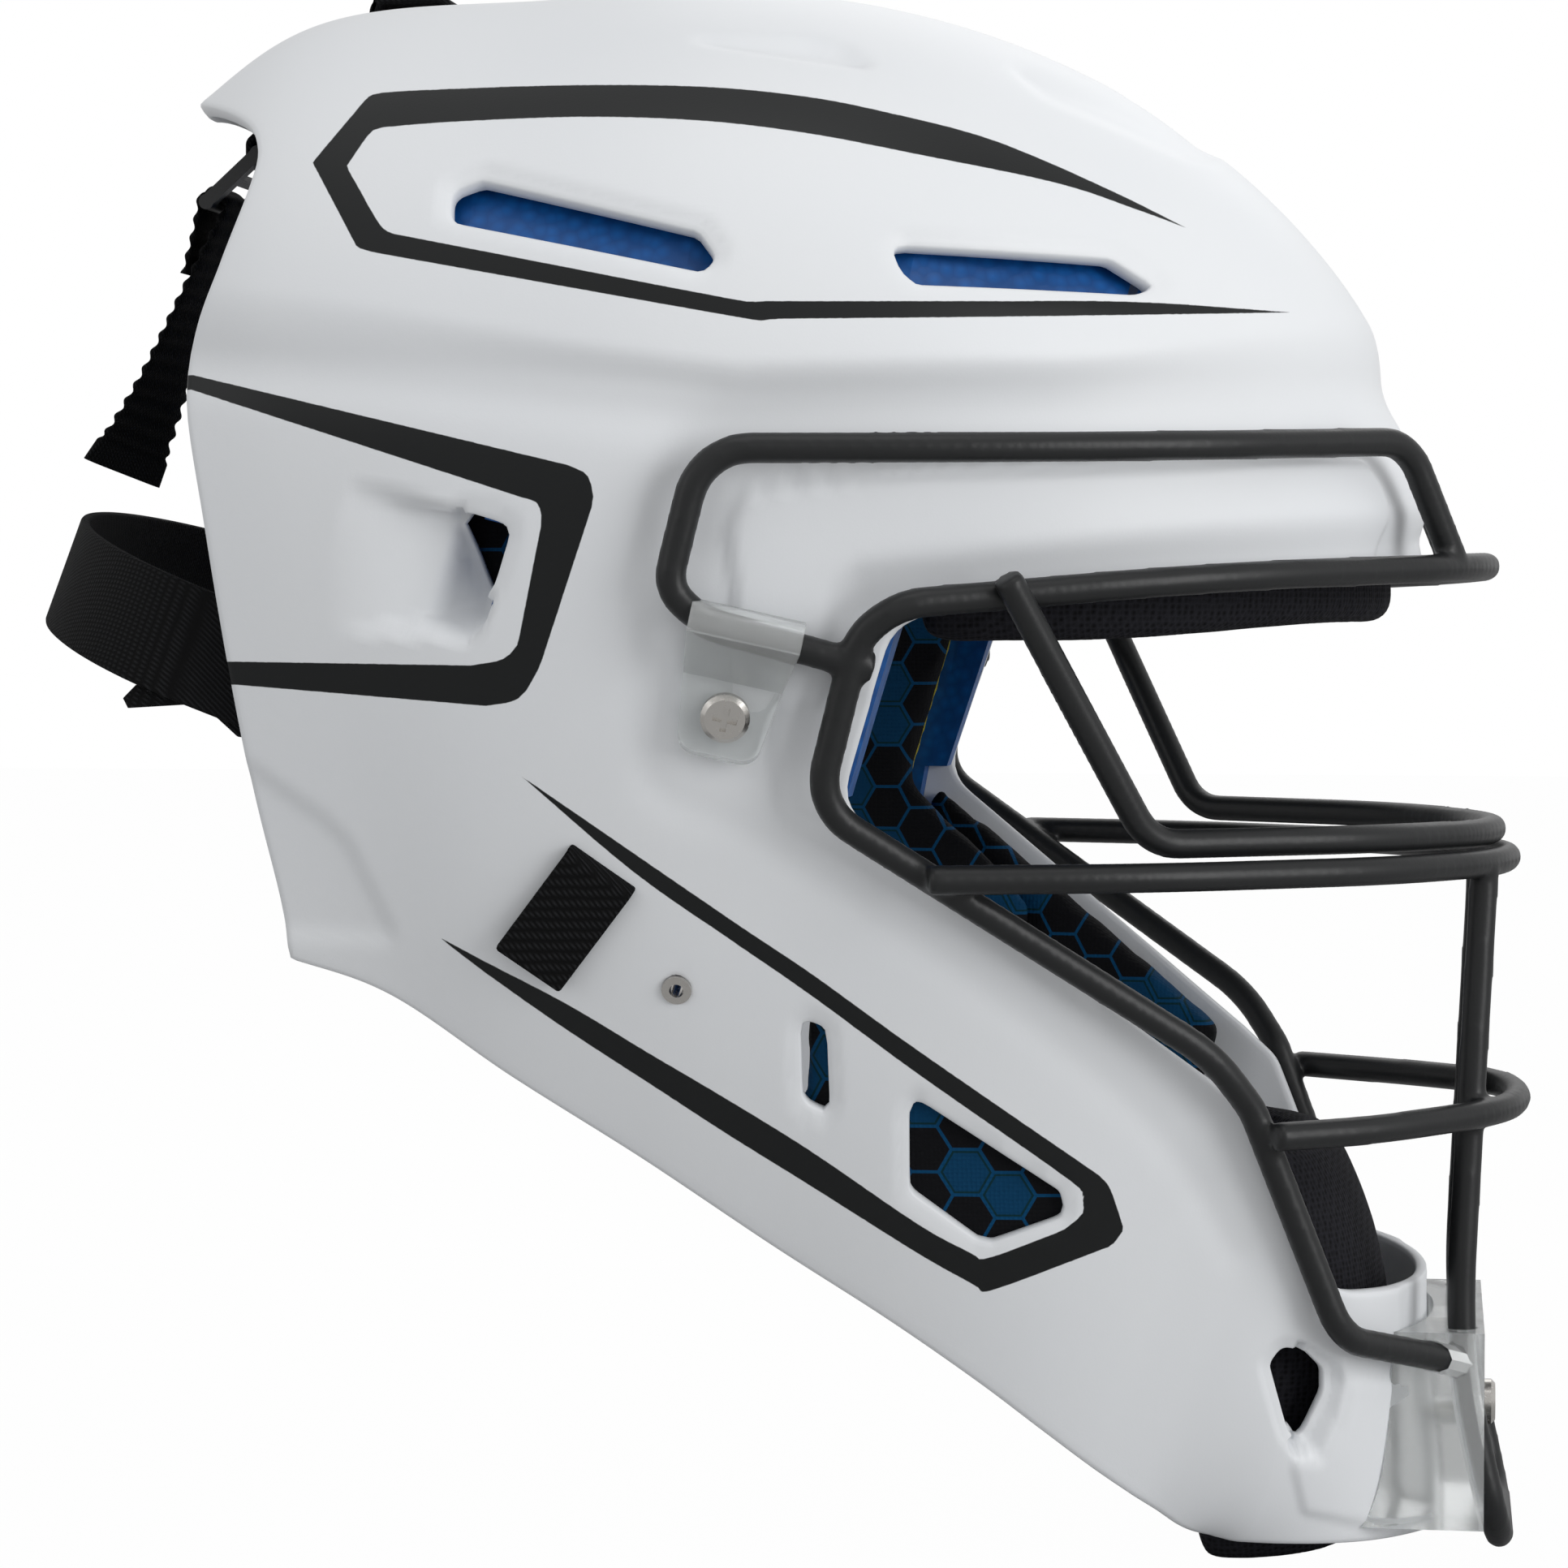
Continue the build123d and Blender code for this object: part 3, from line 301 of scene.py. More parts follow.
def rounded(points, radius, steps=5):
    """Closed outline with its corners rounded."""
    points = np.asarray(points, float)
    most = 0.45                      # of a side that one round corner may take
    made = []
    for before, corner, after in zip(np.roll(points, 1, 0), points, np.roll(points, -1, 0)):
        one, two = before - corner, after - corner
        long_one, long_two = np.linalg.norm(one), np.linalg.norm(two)
        angle = np.arccos(np.clip(one @ two / long_one / long_two, -1, 1))
        reach = min(radius / max(tan(angle / 2), 0.05), most * long_one, most * long_two)
        start, end = corner + one / long_one * reach, corner + two / long_two * reach
        for k in range(steps + 1):
            t = k / steps
            made.append((1 - t) ** 2 * start + 2 * t * (1 - t) * corner + t ** 2 * end)
    return np.array(made)


def line_distance(points, x, z, closed=False):
    """Distance to a run of straight pieces; with closed, less than zero inside."""
    points = np.asarray(points, float)
    ends = np.roll(points, -1, 0) if closed else points[1:]
    nearest = np.full(x.shape, np.inf)
    inside = np.zeros(x.shape, bool)
    for (x0, z0), (x1, z1) in zip(points, ends):
        dx, dz = x1 - x0, z1 - z0
        t = np.clip(((x - x0) * dx + (z - z0) * dz) / max(dx * dx + dz * dz, 1e-9), 0, 1)
        nearest = np.minimum(nearest, np.hypot(x - x0 - t * dx, z - z0 - t * dz))
        if closed and z0 != z1:
            crosses = (z0 > z) != (z1 > z)
            inside ^= crosses & (x < x0 + (z - z0) / (z1 - z0) * dx)
    return np.where(inside, -nearest, nearest)


def ramp(value, low, high):
    """0 below low, 1 above high, and smooth between."""
    t = np.clip((value - low) / (high - low), 0, 1)
    return t * t * (3 - 2 * t)


def in_side_view(shares):
    return [(x * SHELL_LENGTH, z * SHELL_HEIGHT) for x, z in shares]


def photo_pixels(points):
    """Where points of the near side land in the photograph; the far side is mirrored."""
    near = points.copy()
    near[..., 1] = -np.abs(near[..., 1])
    away = near - TARGET - BACK * DISTANCE
    depth = -(away @ BACK)
    focal = DISTANCE / PIXEL
    return PHOTO / 2 + focal * (away @ RIGHT) / depth, PHOTO / 2 - focal * (away @ UP) / depth


# Building blocks

def new_object(name, data):
    made = bpy.data.objects.new(name, data)
    bpy.context.scene.collection.objects.link(made)
    return made


def mesh_piece(name, points, faces, smooth=True):
    """Mesh object from points in millimetres."""
    mesh = bpy.data.meshes.new(name)
    mesh.from_pydata([tuple(p) for p in np.asarray(points, float) * MM], [],
                     [tuple(int(i) for i in f) for f in faces])
    mesh.validate()
    mesh.shade_smooth() if smooth else mesh.shade_flat()
    return new_object(name, mesh)


def copy_of(name, *nodes):
    """One new piece with the meshes of CAD nodes."""
    joined = bmesh.new()
    for node in nodes:
        joined.from_mesh(NODES[node].data)
    bmesh.ops.remove_doubles(joined, verts=joined.verts, dist=MM / 1000)
    mesh = bpy.data.meshes.new(name)
    joined.to_mesh(mesh)
    joined.free()
    return new_object(name, mesh)


def modify(piece, kind, **settings):
    modifier = piece.modifiers.new(kind.title(), kind)
    for key, value in settings.items():
        setattr(modifier, key, value)


def settle(piece):
    """Applies a piece's modifiers to its mesh."""
    graph = bpy.context.evaluated_depsgraph_get()
    mesh = bpy.data.meshes.new_from_object(piece.evaluated_get(graph))
    piece.modifiers.clear()
    piece.data = mesh
    mesh.shade_smooth()
    return piece


def remeshed(name, nodes, voxel, rounds, swell):
    """One piece from CAD nodes: remeshed, smoothed and swelled, by modifiers."""
    piece = copy_of(name, *nodes)
    modify(piece, "REMESH", mode="VOXEL", voxel_size=voxel * MM)
    modify(piece, "SMOOTH", factor=0.5, iterations=rounds)
    modify(piece, "DISPLACE", strength=swell * MM, mid_level=0.0)
    return piece


def dress(piece, material, body, slot, *nodes):
    """Gives a piece its material and body, and hides the CAD nodes it stands for. The slot is
    not used.
    """
    piece.data.materials.clear()
    piece.data.materials.append(material)
    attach(piece, body)
    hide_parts(*nodes)


def paint_node(node, material):
    for slot in NODES[node].material_slots:
        slot.material = material


# Materials

def add(tree, kind, inputs=None, **settings):
    made = tree.nodes.new("ShaderNode" + kind)
    for key, value in settings.items():
        setattr(made, key, value)
    for socket, value in (inputs or {}).items():
        if isinstance(value, bpy.types.NodeSocket):
            tree.links.new(value, made.inputs[socket])
        else:
            made.inputs[socket].default_value = value
    return made


def calc(tree, operation, *values):
    made = add(tree, "Math", dict(enumerate(values)), operation=operation)
    return made.outputs[0]


def vector(tree, operation, *values, out=0):
    made = add(tree, "VectorMath", dict(enumerate(values)), operation=operation)
    return made.outputs[out]


def mix(tree, factor, one, two):
    made = add(tree, "Mix", {0: factor, 6: one, 7: two}, data_type="RGBA")
    return made.outputs[2]


def mapped(tree, value, low=0.0, high=1.0, new_low=0.0, new_high=1.0):
    """A value moved from one range into another."""
    made = add(tree, "MapRange", {0: value, 1: low, 2: high, 3: new_low, 4: new_high})
    return made.outputs[0]


def place_of(tree):
    """The point of the surface in the part's frame, in metres."""
    return add(tree, "TexCoord").outputs["Object"]


def noise(tree, scale, detail=2.0):
    made = add(tree, "TexNoise", {"Vector": place_of(tree), "Scale": scale,
                                  "Detail": detail})
    return made.outputs["Fac"]


def cells(tree, scale, randomness=1.0):
    """How far a point is from the middle of the nearest cell."""
    made = add(tree, "TexVoronoi", {"Vector": place_of(tree), "Scale": scale,
                                    "Randomness": randomness})
    return made.outputs["Distance"]


def new_material(name, color, roughness, **sockets):
    material = bpy.data.materials.new(name)
    material.use_nodes = True
    tree = material.node_tree
    surface = tree.nodes["Principled BSDF"]
    surface.inputs["Base Color"].default_value = color
    surface.inputs["Roughness"].default_value = roughness
    for socket, value in sockets.items():
        surface.inputs[socket.replace("_", " ")].default_value = value
    return material, tree, surface


def tint(tree, surface, factor, one, two):
    """Colours the surface between two colours."""
    tree.links.new(mix(tree, factor, one, two), surface.inputs["Base Color"])


def roughen(tree, surface, value, low, high):
    """Spreads the surface's roughness between two values."""
    rough = mapped(tree, value, new_low=low, new_high=high)
    tree.links.new(rough, surface.inputs["Roughness"])


def bump(tree, surface, height, strength, distance):
    made = add(tree, "Bump", {"Height": height, "Strength": strength, "Distance": distance})
    tree.links.new(made.outputs[0], surface.inputs["Normal"])


def linear(red, green, blue):
    """Scene colour of a colour seen in the photograph."""
    return (*((c / 255 / 12.92) if c < 11 else ((c / 255 + 0.055) / 1.055) ** 2.4
              for c in (red, green, blue)), 1)


def shell_material():
    """White plastic, with paint where the mesh's fields are over zero."""
    material, tree, surface = new_material("shell_white", linear(226, 229, 232), 0.42,
                                           Specular_IOR_Level=0.3)
    paint = calc(tree, "MINIMUM",
                 add(tree, "Attribute", attribute_name="paint_outer").outputs["Fac"],
                 add(tree, "Attribute", attribute_name="paint_inner").outputs["Fac"])
    wander = calc(tree, "SUBTRACT", noise(tree, scale=900.0, detail=3.0), 0.5)
    mask = mapped(tree, calc(tree, "ADD", paint, wander), low=-0.5, high=0.5)
    white = mix(tree, noise(tree, scale=14.0), linear(224, 227, 231), linear(229, 231, 233))
    tint(tree, surface, mask, white, linear(20, 22, 23))
    roughen(tree, surface, mask, low=0.42, high=0.36)
    bump(tree, surface, noise(tree, scale=2600.0), strength=0.06, distance=0.0002)
    return material


def cage_material():
    material, tree, surface = new_material("cage_black", linear(30, 31, 32), 0.38,
                                           Specular_IOR_Level=0.35)
    speck = noise(tree, scale=1500.0, detail=4.0)
    roughen(tree, surface, speck, low=0.32, high=0.46)
    bump(tree, surface, speck, strength=0.12, distance=0.0002)
    return material


def clear_material():
    material, tree, surface = new_material("clip_clear", (0.93, 0.95, 0.95, 1), 0.16,
                                           Transmission_Weight=0.82, IOR=1.45)
    cloud = noise(tree, scale=160.0, detail=3.0)
    roughen(tree, surface, cloud, low=0.10, high=0.30)
    bump(tree, surface, cloud, strength=0.05, distance=0.0004)
    return material


def metal_material():
    material, tree, surface = new_material("nickel", (0.62, 0.60, 0.57, 1), 0.22,
                                           Metallic=1.0)
    brushed = noise(tree, scale=1800.0, detail=3.0)
    roughen(tree, surface, brushed, low=0.14, high=0.34)
    bump(tree, surface, brushed, strength=0.08, distance=0.0001)
    return material


def liner_material():
    """Moulded bead foam."""
    material, tree, surface = new_material("liner_blue", linear(0, 84, 156), 0.5)
    beads = cells(tree, scale=420.0)
    shade = mapped(tree, beads, high=0.7)
    tint(tree, surface, shade, linear(0, 92, 168), linear(0, 72, 138))
    bump(tree, surface, beads, strength=0.25, distance=0.0004)
    return material


def foam_material():
    material, tree, surface = new_material("foam_yellow", linear(190, 178, 50), 0.9)
    pores = cells(tree, scale=1600.0)
    tint(tree, surface, pores, linear(140, 130, 40), linear(205, 192, 60))
    bump(tree, surface, pores, strength=0.6, distance=0.0005)
    return material


def knitted(tree, scale):
    """Height of a fine knitted mesh: crossed rows of small holes."""
    return cells(tree, scale, randomness=0.25)


def pad_material():
    material, tree, surface = new_material("pad_mesh", linear(16, 16, 19), 0.85,
                                           Specular_IOR_Level=0.15)
    knit = knitted(tree, scale=900.0)
    shade = mapped(tree, knit, low=0.1, high=0.6)
    tint(tree, surface, shade, linear(6, 6, 8), linear(32, 32, 37))
    bump(tree, surface, knit, strength=0.7, distance=0.0006)
    return material


def hexagon_cells(tree):
    """Middles of the hexagons of a side-view pattern, and how far out a point is in one."""
    spot = add(tree, "SeparateXYZ", {0: place_of(tree)})
    flat = add(tree, "CombineXYZ", {0: spot.outputs["Z"], 1: spot.outputs["X"]}).outputs[0]
    flat = vector(tree, "MULTIPLY", flat, (1 / HEXAGON, 1 / HEXAGON, 0))
    lean = 3 ** 0.5
    period, half = (1.0, lean, 1.0), (0.5, lean / 2, 0.0)
    one, two = (vector(tree, "SUBTRACT", vector(tree, "WRAP", grid, (0, 0, 0), period), half)
                for grid in (flat, vector(tree, "ADD", flat, half)))
    closer = calc(tree, "LESS_THAN", vector(tree, "LENGTH", one, out=1),
                  vector(tree, "LENGTH", two, out=1))
    local = add(tree, "Mix", {0: closer, 4: two, 5: one}, data_type="VECTOR").outputs[1]
    size = vector(tree, "ABSOLUTE", local)
    level = calc(tree, "MAXIMUM", vector(tree, "DOT_PRODUCT", size, half, out=1),
                 add(tree, "SeparateXYZ", {0: size}).outputs["X"])
    nudge = (0.1, 0.1, 0)            # keeps rounding errors out of the snap
    middle = vector(tree, "ADD", vector(tree, "SUBTRACT", flat, local), nudge)
    return vector(tree, "SNAP", middle, (0.5, lean / 2, 1)), level


def hexagon_material():
    """Knitted fabric with printed hexagons, some of them filled, as seen from the side."""
    material, tree, surface = new_material("pad_hexagons", linear(14, 14, 18), 0.8,
                                           Specular_IOR_Level=0.15)
    middle, level = hexagon_cells(tree)
    chance = add(tree, "TexWhiteNoise", {"Vector": middle}).outputs["Value"]
    filled = calc(tree, "GREATER_THAN", chance, HEXAGON_BLACK)
    rim = calc(tree, "GREATER_THAN", level, HEXAGON_RIM)
    inner = mix(tree, filled, linear(8, 9, 13), linear(0, 56, 90))
    framed = mix(tree, calc(tree, "MULTIPLY", rim, filled), inner, linear(0, 42, 50))
    tint(tree, surface, calc(tree, "GREATER_THAN", level, HEXAGON_LINE), framed,
         linear(0, 62, 100))
    bump(tree, surface, knitted(tree, scale=1200.0), strength=0.5, distance=0.0004)
    return material


def webbing_material():
    """Woven tape: fine ribs both ways."""
    material, tree, surface = new_material("webbing_black", linear(16, 16, 18), 0.85,
                                           Specular_IOR_Level=0.15)
    spot = place_of(tree)
    one, two = (add(tree, "TexWave", {"Vector": spot, "Scale": scale, "Distortion": 1.0},
                    bands_direction=way).outputs["Fac"]
                for scale, way in ((WEAVE, "DIAGONAL"), (WEAVE * 0.8, "Y")))
    woven = calc(tree, "MULTIPLY", one, two)
    tint(tree, surface, woven, linear(8, 8, 9), linear(34, 35, 37))
    bump(tree, surface, woven, strength=0.8, distance=0.0005)
    return material


def plastic_material():
    material, tree, surface = new_material("buckle_black", linear(28, 29, 30), 0.4)
    bump(tree, surface, noise(tree, scale=1400.0), strength=0.2, distance=0.0002)
    return material


# Shell

def rib_surface(offset):
    """Grid of points on the rib surface, rear to chin, and right edge over the top to left."""
    rows = np.linspace(0, len(RIB_SHARES) - 1, (len(RIB_SHARES) - 1) * ROWS_PER_RIB + 1)
    sizes = [(ex * SHELL_LENGTH, ez * SHELL_HEIGHT, cx * SHELL_LENGTH, cz * SHELL_HEIGHT,
              narrow * HALF_WIDTH, wide * HALF_WIDTH, place)
             for (ex, ez), (cx, cz), (narrow, wide), place in RIB_SHARES]
    ex, ez, cx, cz, narrow, wide, place = (c[:, None] for c in catmull(sizes, rows).T)
    v = np.linspace(1, -1, COLUMNS)[None, :]
    turn = np.abs(v) * 3 / 2         # over 1 on the sides, below the widest place
    power = 2 / RIB_ROUNDNESS
    top = 1 + offset / np.hypot(cx - ex, cz - ez)
    upper = np.minimum(turn, 1) * pi / 2
    fall = np.maximum(turn - 1, 0) * 2
    rise = np.where(turn <= 1, place + (top - place) * np.maximum(np.cos(upper), 0) ** power,
                    place * (1 - fall))
    reach = np.where(turn <= 1, (wide + offset) * np.sin(upper) ** power,
                     wide + offset - (wide - narrow) * fall ** RIB_TUCK)
    return np.stack([ex + (cx - ex) * rise, -np.sign(v) * reach, ez + (cz - ez) * rise], -1)


def normals_of(grid):
    """Outward normals of the grid's points."""
    normal = np.cross(np.gradient(grid, axis=0), np.gradient(grid, axis=1))
    return normal / np.maximum(np.linalg.norm(normal, axis=-1, keepdims=True), 1e-9)


def side_distance(shares, corner, x, z):
    """Millimetres to a rounded side-view outline, less than zero inside it."""
    return line_distance(rounded(in_side_view(shares), corner), x, z, closed=True)


def outline_distance(pixels, outline, corner):
    """Millimetres to a rounded outline in the photograph, less than zero inside it."""
    return line_distance(rounded(outline, corner), *pixels, closed=True) * PIXEL


def shallow_form(pixels, outline, corner, depth, soft):
    """Height of a form that sinks by its depth, over a soft edge."""
    return -depth * (1 - ramp(outline_distance(pixels, outline, corner), -soft, soft))


def groove(pixels, line, depth, width):
    away = line_distance(smooth_run(line), *pixels) * PIXEL
    return -depth * np.exp(-(away / width) ** 2)


def slanted_wall(spot, edge, foot, depth, unit):
    """How far a wall sinks between its upper edge and its foot at a cut."""
    wall = line_distance([*edge, *foot[::-1]], *spot, closed=True) * unit
    above, below = line_distance(edge, *spot), line_distance(foot, *spot)
    share = above / np.maximum(above + below, 0.1)
    return depth * share ** WALL_CURVE * (1 - ramp(wall, *WALL_SOFT))


def brow_panel(pixels):
    """Panel over the face opening: proud, with a groove on top, and turned in below."""
    panel = outline_distance(pixels, BROW_PANEL, PANEL_CORNER)
    turn = outline_distance(pixels, BROW_TURN, TURN_CORNER)
    height = PANEL_HEIGHT * (1 - ramp(panel, *PANEL_EDGE)) + groove(pixels, *BROW_GROOVE)
    return height - TURN_DEPTH * ramp(-turn, *TURN_EDGE)


def ridge_hollow(over, pixels):
    """How far the shell sinks under the ridge, and in the channel over the brow."""
    brow = ramp(pixels[0], *HOLLOW_START) * (1 - HOLLOW_LOSS * ramp(pixels[0], *HOLLOW_FADE))
    sunk = (HOLLOW_DEPTH + HOLLOW_GAIN * brow) * np.exp(
        -((over + HOLLOW_BELOW) / HOLLOW_WIDTH) ** 2)
    sunk -= groove(pixels, CHANNEL_LINE, CHANNEL_DEPTH * brow, CHANNEL_WIDTH)
    return DEEPEST * np.tanh(sunk / DEEPEST)


def relief(grid, pixels):
    """Height of the outer surface over the ribs: the dome, and all that is pressed in."""
    x, z = grid[..., 0], grid[..., 2]
    over = z - np.interp(x, *np.transpose(in_side_view(RIDGE_SHARES)))
    soft = DOME_SOFT + DOME_SOFTER * ramp(np.abs(x - DOME_SHARPEST), *DOME_FADE)
    height = DOME_STEP * ramp(over / soft, *DOME_SLOPE)
    for form in (TOP_RECESS, BROW_RECESS):
        height += shallow_form(pixels, *form)
    height -= ridge_hollow(over, pixels)
    height += brow_panel(pixels)
    height += shallow_form(pixels, *JAW_FACET)
    for line in (BED, CREASE):
        height += groove(pixels, *line)
    scoop = 1 - ramp(outline_distance(pixels, SCOOP, SCOOP_CORNER), *SCOOP_EDGE)
    height -= SCOOP_DEPTH * ramp(pixels[0], *SCOOP_SLOPE) * scoop
    height -= slanted_wall((x, z), in_side_view(WALL_EDGE_SHARES),
                           in_side_view(WALL_FOOT_SHARES), SIDE_WALL_DEPTH, 1.0)
    height -= slanted_wall(pixels, CHIN_WALL_EDGE, CHIN_WALL_FOOT, CHIN_WALL_DEPTH, PIXEL)
    for form in (CHIN_FACET, CHIN_CORNER):
        height += shallow_form(pixels, *form)
    for shares in VENT_SHARES:
        vent = side_distance(shares, VENT_DIP_CORNER, x, z)
        height -= VENT_DIP * (1 - ramp(vent, *VENT_DIP_EDGE))
    return height


def material_depth(grid):
    """How far a point of the shell is inside the nearest cut edge; less than zero is cut."""
    x, z = grid[..., 0], grid[..., 2]
    rim = in_side_view(RIM_SHARES)
    behind = -2 * SHELL_LENGTH
    rear = [*smooth_run(rim), (behind, rim[-1][1]), (behind, rim[0][1])]
    (eyelet_x, eyelet_z), = in_side_view([EYELET_SHARES])
    cuts = [side_distance(OPENING_SHARES, OPENING_CORNER, x, z),
            line_distance(rear, x, z, closed=True),
            *(side_distance(shares, VENT_CORNER, x, z) for shares in VENT_SHARES),
            np.hypot(x - eyelet_x, z - eyelet_z) - EYELET_ROOM]
    return np.min(cuts, axis=0)


def snap_to_edge(depth, sheets):
    """Moves grid points that are next to a cut edge onto it, in every sheet. Gives the
    sheets, and a state for each point: 1 inside the material, 0 on the edge, -1 cut."""
    best = np.full(depth.shape, 0.5 + 1e-9)     # the share of a step that a point may move
    target = {}
    rows, columns = depth.shape
    for di, dj in ((0, 1), (1, 0), (0, -1), (-1, 0)):
        i0, i1 = max(0, -di), rows - max(0, di)
        j0, j1 = max(0, -dj), columns - max(0, dj)
        here = depth[i0:i1, j0:j1]
        there = depth[i0 + di:i1 + di, j0 + dj:j1 + dj]
        crossing = (here > 0) != (there > 0)
        with np.errstate(divide="ignore", invalid="ignore"):
            share = np.where(crossing, here / (here - there), np.inf)
        better = share < best[i0:i1, j0:j1]
        for i, j in np.argwhere(better):
            best[i + i0, j + j0] = share[i, j]
            target[i + i0, j + j0] = (i + i0 + di, j + j0 + dj, share[i, j])
    moved = [sheet.copy() for sheet in sheets]
    state = np.where(depth > 0, 1, -1)
    for (i, j), (k, l, share) in target.items():
        state[i, j] = 0
        for new, old in zip(moved, sheets):
            new[i, j] = old[i, j] * (1 - share) + old[k, l] * share
    return moved, state


def kept_faces(state):
    """Faces of the grid on the material's side, cut across a corner where the edge does."""
    rows, columns = state.shape
    number = np.arange(rows * columns).reshape(rows, columns)
    corners = [(0, 0), (1, 0), (1, 1), (0, 1)]
    stacks = [state[di:rows - 1 + di, dj:columns - 1 + dj] for di, dj in corners]
    lowest, highest = np.min(stacks, axis=0), np.max(stacks, axis=0)
    faces = [[number[i + di, j + dj] for di, dj in corners]
             for i, j in np.argwhere((lowest >= 0) & (highest > 0))]
    for i, j in np.argwhere((lowest < 0) & (highest > 0)):
        spots = [(i + di, j + dj) for di, dj in corners]
        kept = [number[spot] for spot in spots if state[spot] >= 0]
        if len(kept) == 3:
            faces.append(kept)
    return faces


def open_edges(faces):
    """Edges that belong to one face, with that face on their left."""
    once = {}
    for face in faces:
        for a, b in zip(face, [*face[1:], face[0]]):
            if (b, a) in once:
                del once[b, a]
            else:
                once[a, b] = True
    return list(once)


def paint_fields(surface):
    """Pixels inside the outer and outside the inner outline of the nearest painted band."""
    pixels = photo_pixels(surface)
    fields = []
    for outer, inner in (UPPER_BAND, REAR_BAND, JAW_BAND):
        inside = -line_distance(outline_of(outer), *pixels, closed=True)
        outside = line_distance(outline_of(inner), *pixels, closed=True)
        fields.append(np.stack([inside, outside], -1))
    fields = np.array(fields)
    nearest = np.argmax(fields.min(-1), 0)
    return np.take_along_axis(fields, nearest[None, ..., None], 0)[0]


def ways_out(rims, points, normal):
    """The way out of the material, along the surface, at each point of the cut edges."""
    ways = {}
    for a, b in rims:
        push = np.cross(points[b] - points[a], normal[a])
        push /= max(np.linalg.norm(push), 1e-9)
        for spot in (a, b):
            ways[spot] = ways.get(spot, 0) + push
    return {spot: push / max(np.linalg.norm(push), 1e-9) for spot, push in ways.items()}


def round_edge(outer, inner, way):
    """Points round a cut edge, from the outer sheet to the inner one."""
    middle, arm = (outer + inner) / 2, (outer - inner) / 2
    points = []
    for k in range(1, EDGE_STEPS):
        angle = pi * k / EDGE_STEPS
        up = np.sign(cos(angle)) * abs(cos(angle)) ** EDGE_SQUARENESS
        bulge = abs(sin(angle)) ** EDGE_SQUARENESS
        points.append(middle + arm * up + way * EDGE_ROUND * bulge)
    return points


def shell_piece():
    """An outer and an inner sheet, joined by round edges where they are cut."""
    base = rib_surface(-DOME_STEP)
    normal = normals_of(base)
    rise = relief(base, photo_pixels(base))
    sink = np.minimum(np.maximum(rise, 0) * INSIDE_SHARE - WALL, rise - THINNEST)
    outer, inner = (base + normal * height[..., None] for height in (rise, sink))
    depth = material_depth(outer) - EDGE_ROUND
    sheets, state = snap_to_edge(depth, (outer, inner, paint_fields(outer)))
    outer, inner, paint = (sheet.reshape(-1, sheet.shape[-1]) for sheet in sheets)
    faces = kept_faces(state)
    rims = open_edges(faces)
    points = [*outer, *inner]
    paints = [*paint, *np.full_like(paint, UNPAINTED)]
    rings = {}
    for spot, way in ways_out(rims, outer, normal.reshape(-1, 3)).items():
        made = round_edge(outer[spot], inner[spot], way)
        numbers = range(len(points), len(points) + len(made))
        rings[spot] = [spot, *numbers, spot + state.size]
        points += made
        paints += [paint[spot] if k < EDGE_STEPS // 2 else (UNPAINTED, UNPAINTED)
                   for k in range(1, EDGE_STEPS)]
    quads = faces + [[n + state.size for n in face[::-1]] for face in faces]
    quads += [[rings[a][k], rings[a][k + 1], rings[b][k + 1], rings[b][k]]
              for a, b in rims for k in range(EDGE_STEPS)]
    used = sorted({n for q in quads for n in q})
    new = np.full(len(points), -1)
    new[used] = np.arange(len(used))
    piece = mesh_piece("shell_moulding", np.array(points)[used], [new[q] for q in quads])
    for name, values in zip(("paint_outer", "paint_inner"), np.array(paints)[used].T):
        layer = piece.data.attributes.new(name, "FLOAT", "POINT")
        layer.data.foreach_set("value", np.ascontiguousarray(values))
    return piece


# Cage

def wire_piece(name, material, *wires):
    """Round wires with small fillets where they are welded."""
    piece = settle(remeshed(name, wires, WIRE_VOXEL, WIRE_ROUNDS, WIRE_SWELL))
    dress(piece, material, "helmet", "cage_black", *wires)


# Pads and straps

def tube_mesh(name, middles, acrosses, normals, halves):
    """Flat tape with rounded edges along a run of middles, with its half width and half
    thickness at each."""
    turns = 2 * pi * np.arange(TAPE_STEPS) / TAPE_STEPS
    wide, thick = (np.sign(way) * np.abs(way) ** power
                   for way, power in zip((np.cos(turns), np.sin(turns)), TAPE_SQUARENESS))
    points = (middles[:, None] + acrosses[:, None] * (halves[:, :1] * wide)[..., None]
              + normals[:, None] * (halves[:, 1:] * thick)[..., None])
    number = np.arange(len(middles) * TAPE_STEPS).reshape(-1, TAPE_STEPS)
    after = np.roll(number, -1, axis=1)
    quads = np.stack([number[:-1], after[:-1], after[1:], number[1:]], -1)
    faces = [*quads.reshape(-1, 4), number[0][::-1], number[-1]]
    return mesh_piece(name, points.reshape(-1, 3), faces)


def along(points, spacing):
    """Points of a smooth curve at an even spacing."""
    per_point = 60
    fine = catmull(points, np.linspace(0, len(points) - 1, per_point * len(points)))
    gone = np.concatenate([[0], np.cumsum(np.linalg.norm(np.diff(fine, axis=0), axis=1))])
    stations = np.linspace(0, gone[-1], int(gone[-1] / spacing) + 1)
    return np.stack([np.interp(stations, gone, column) for column in fine.T], -1), stations


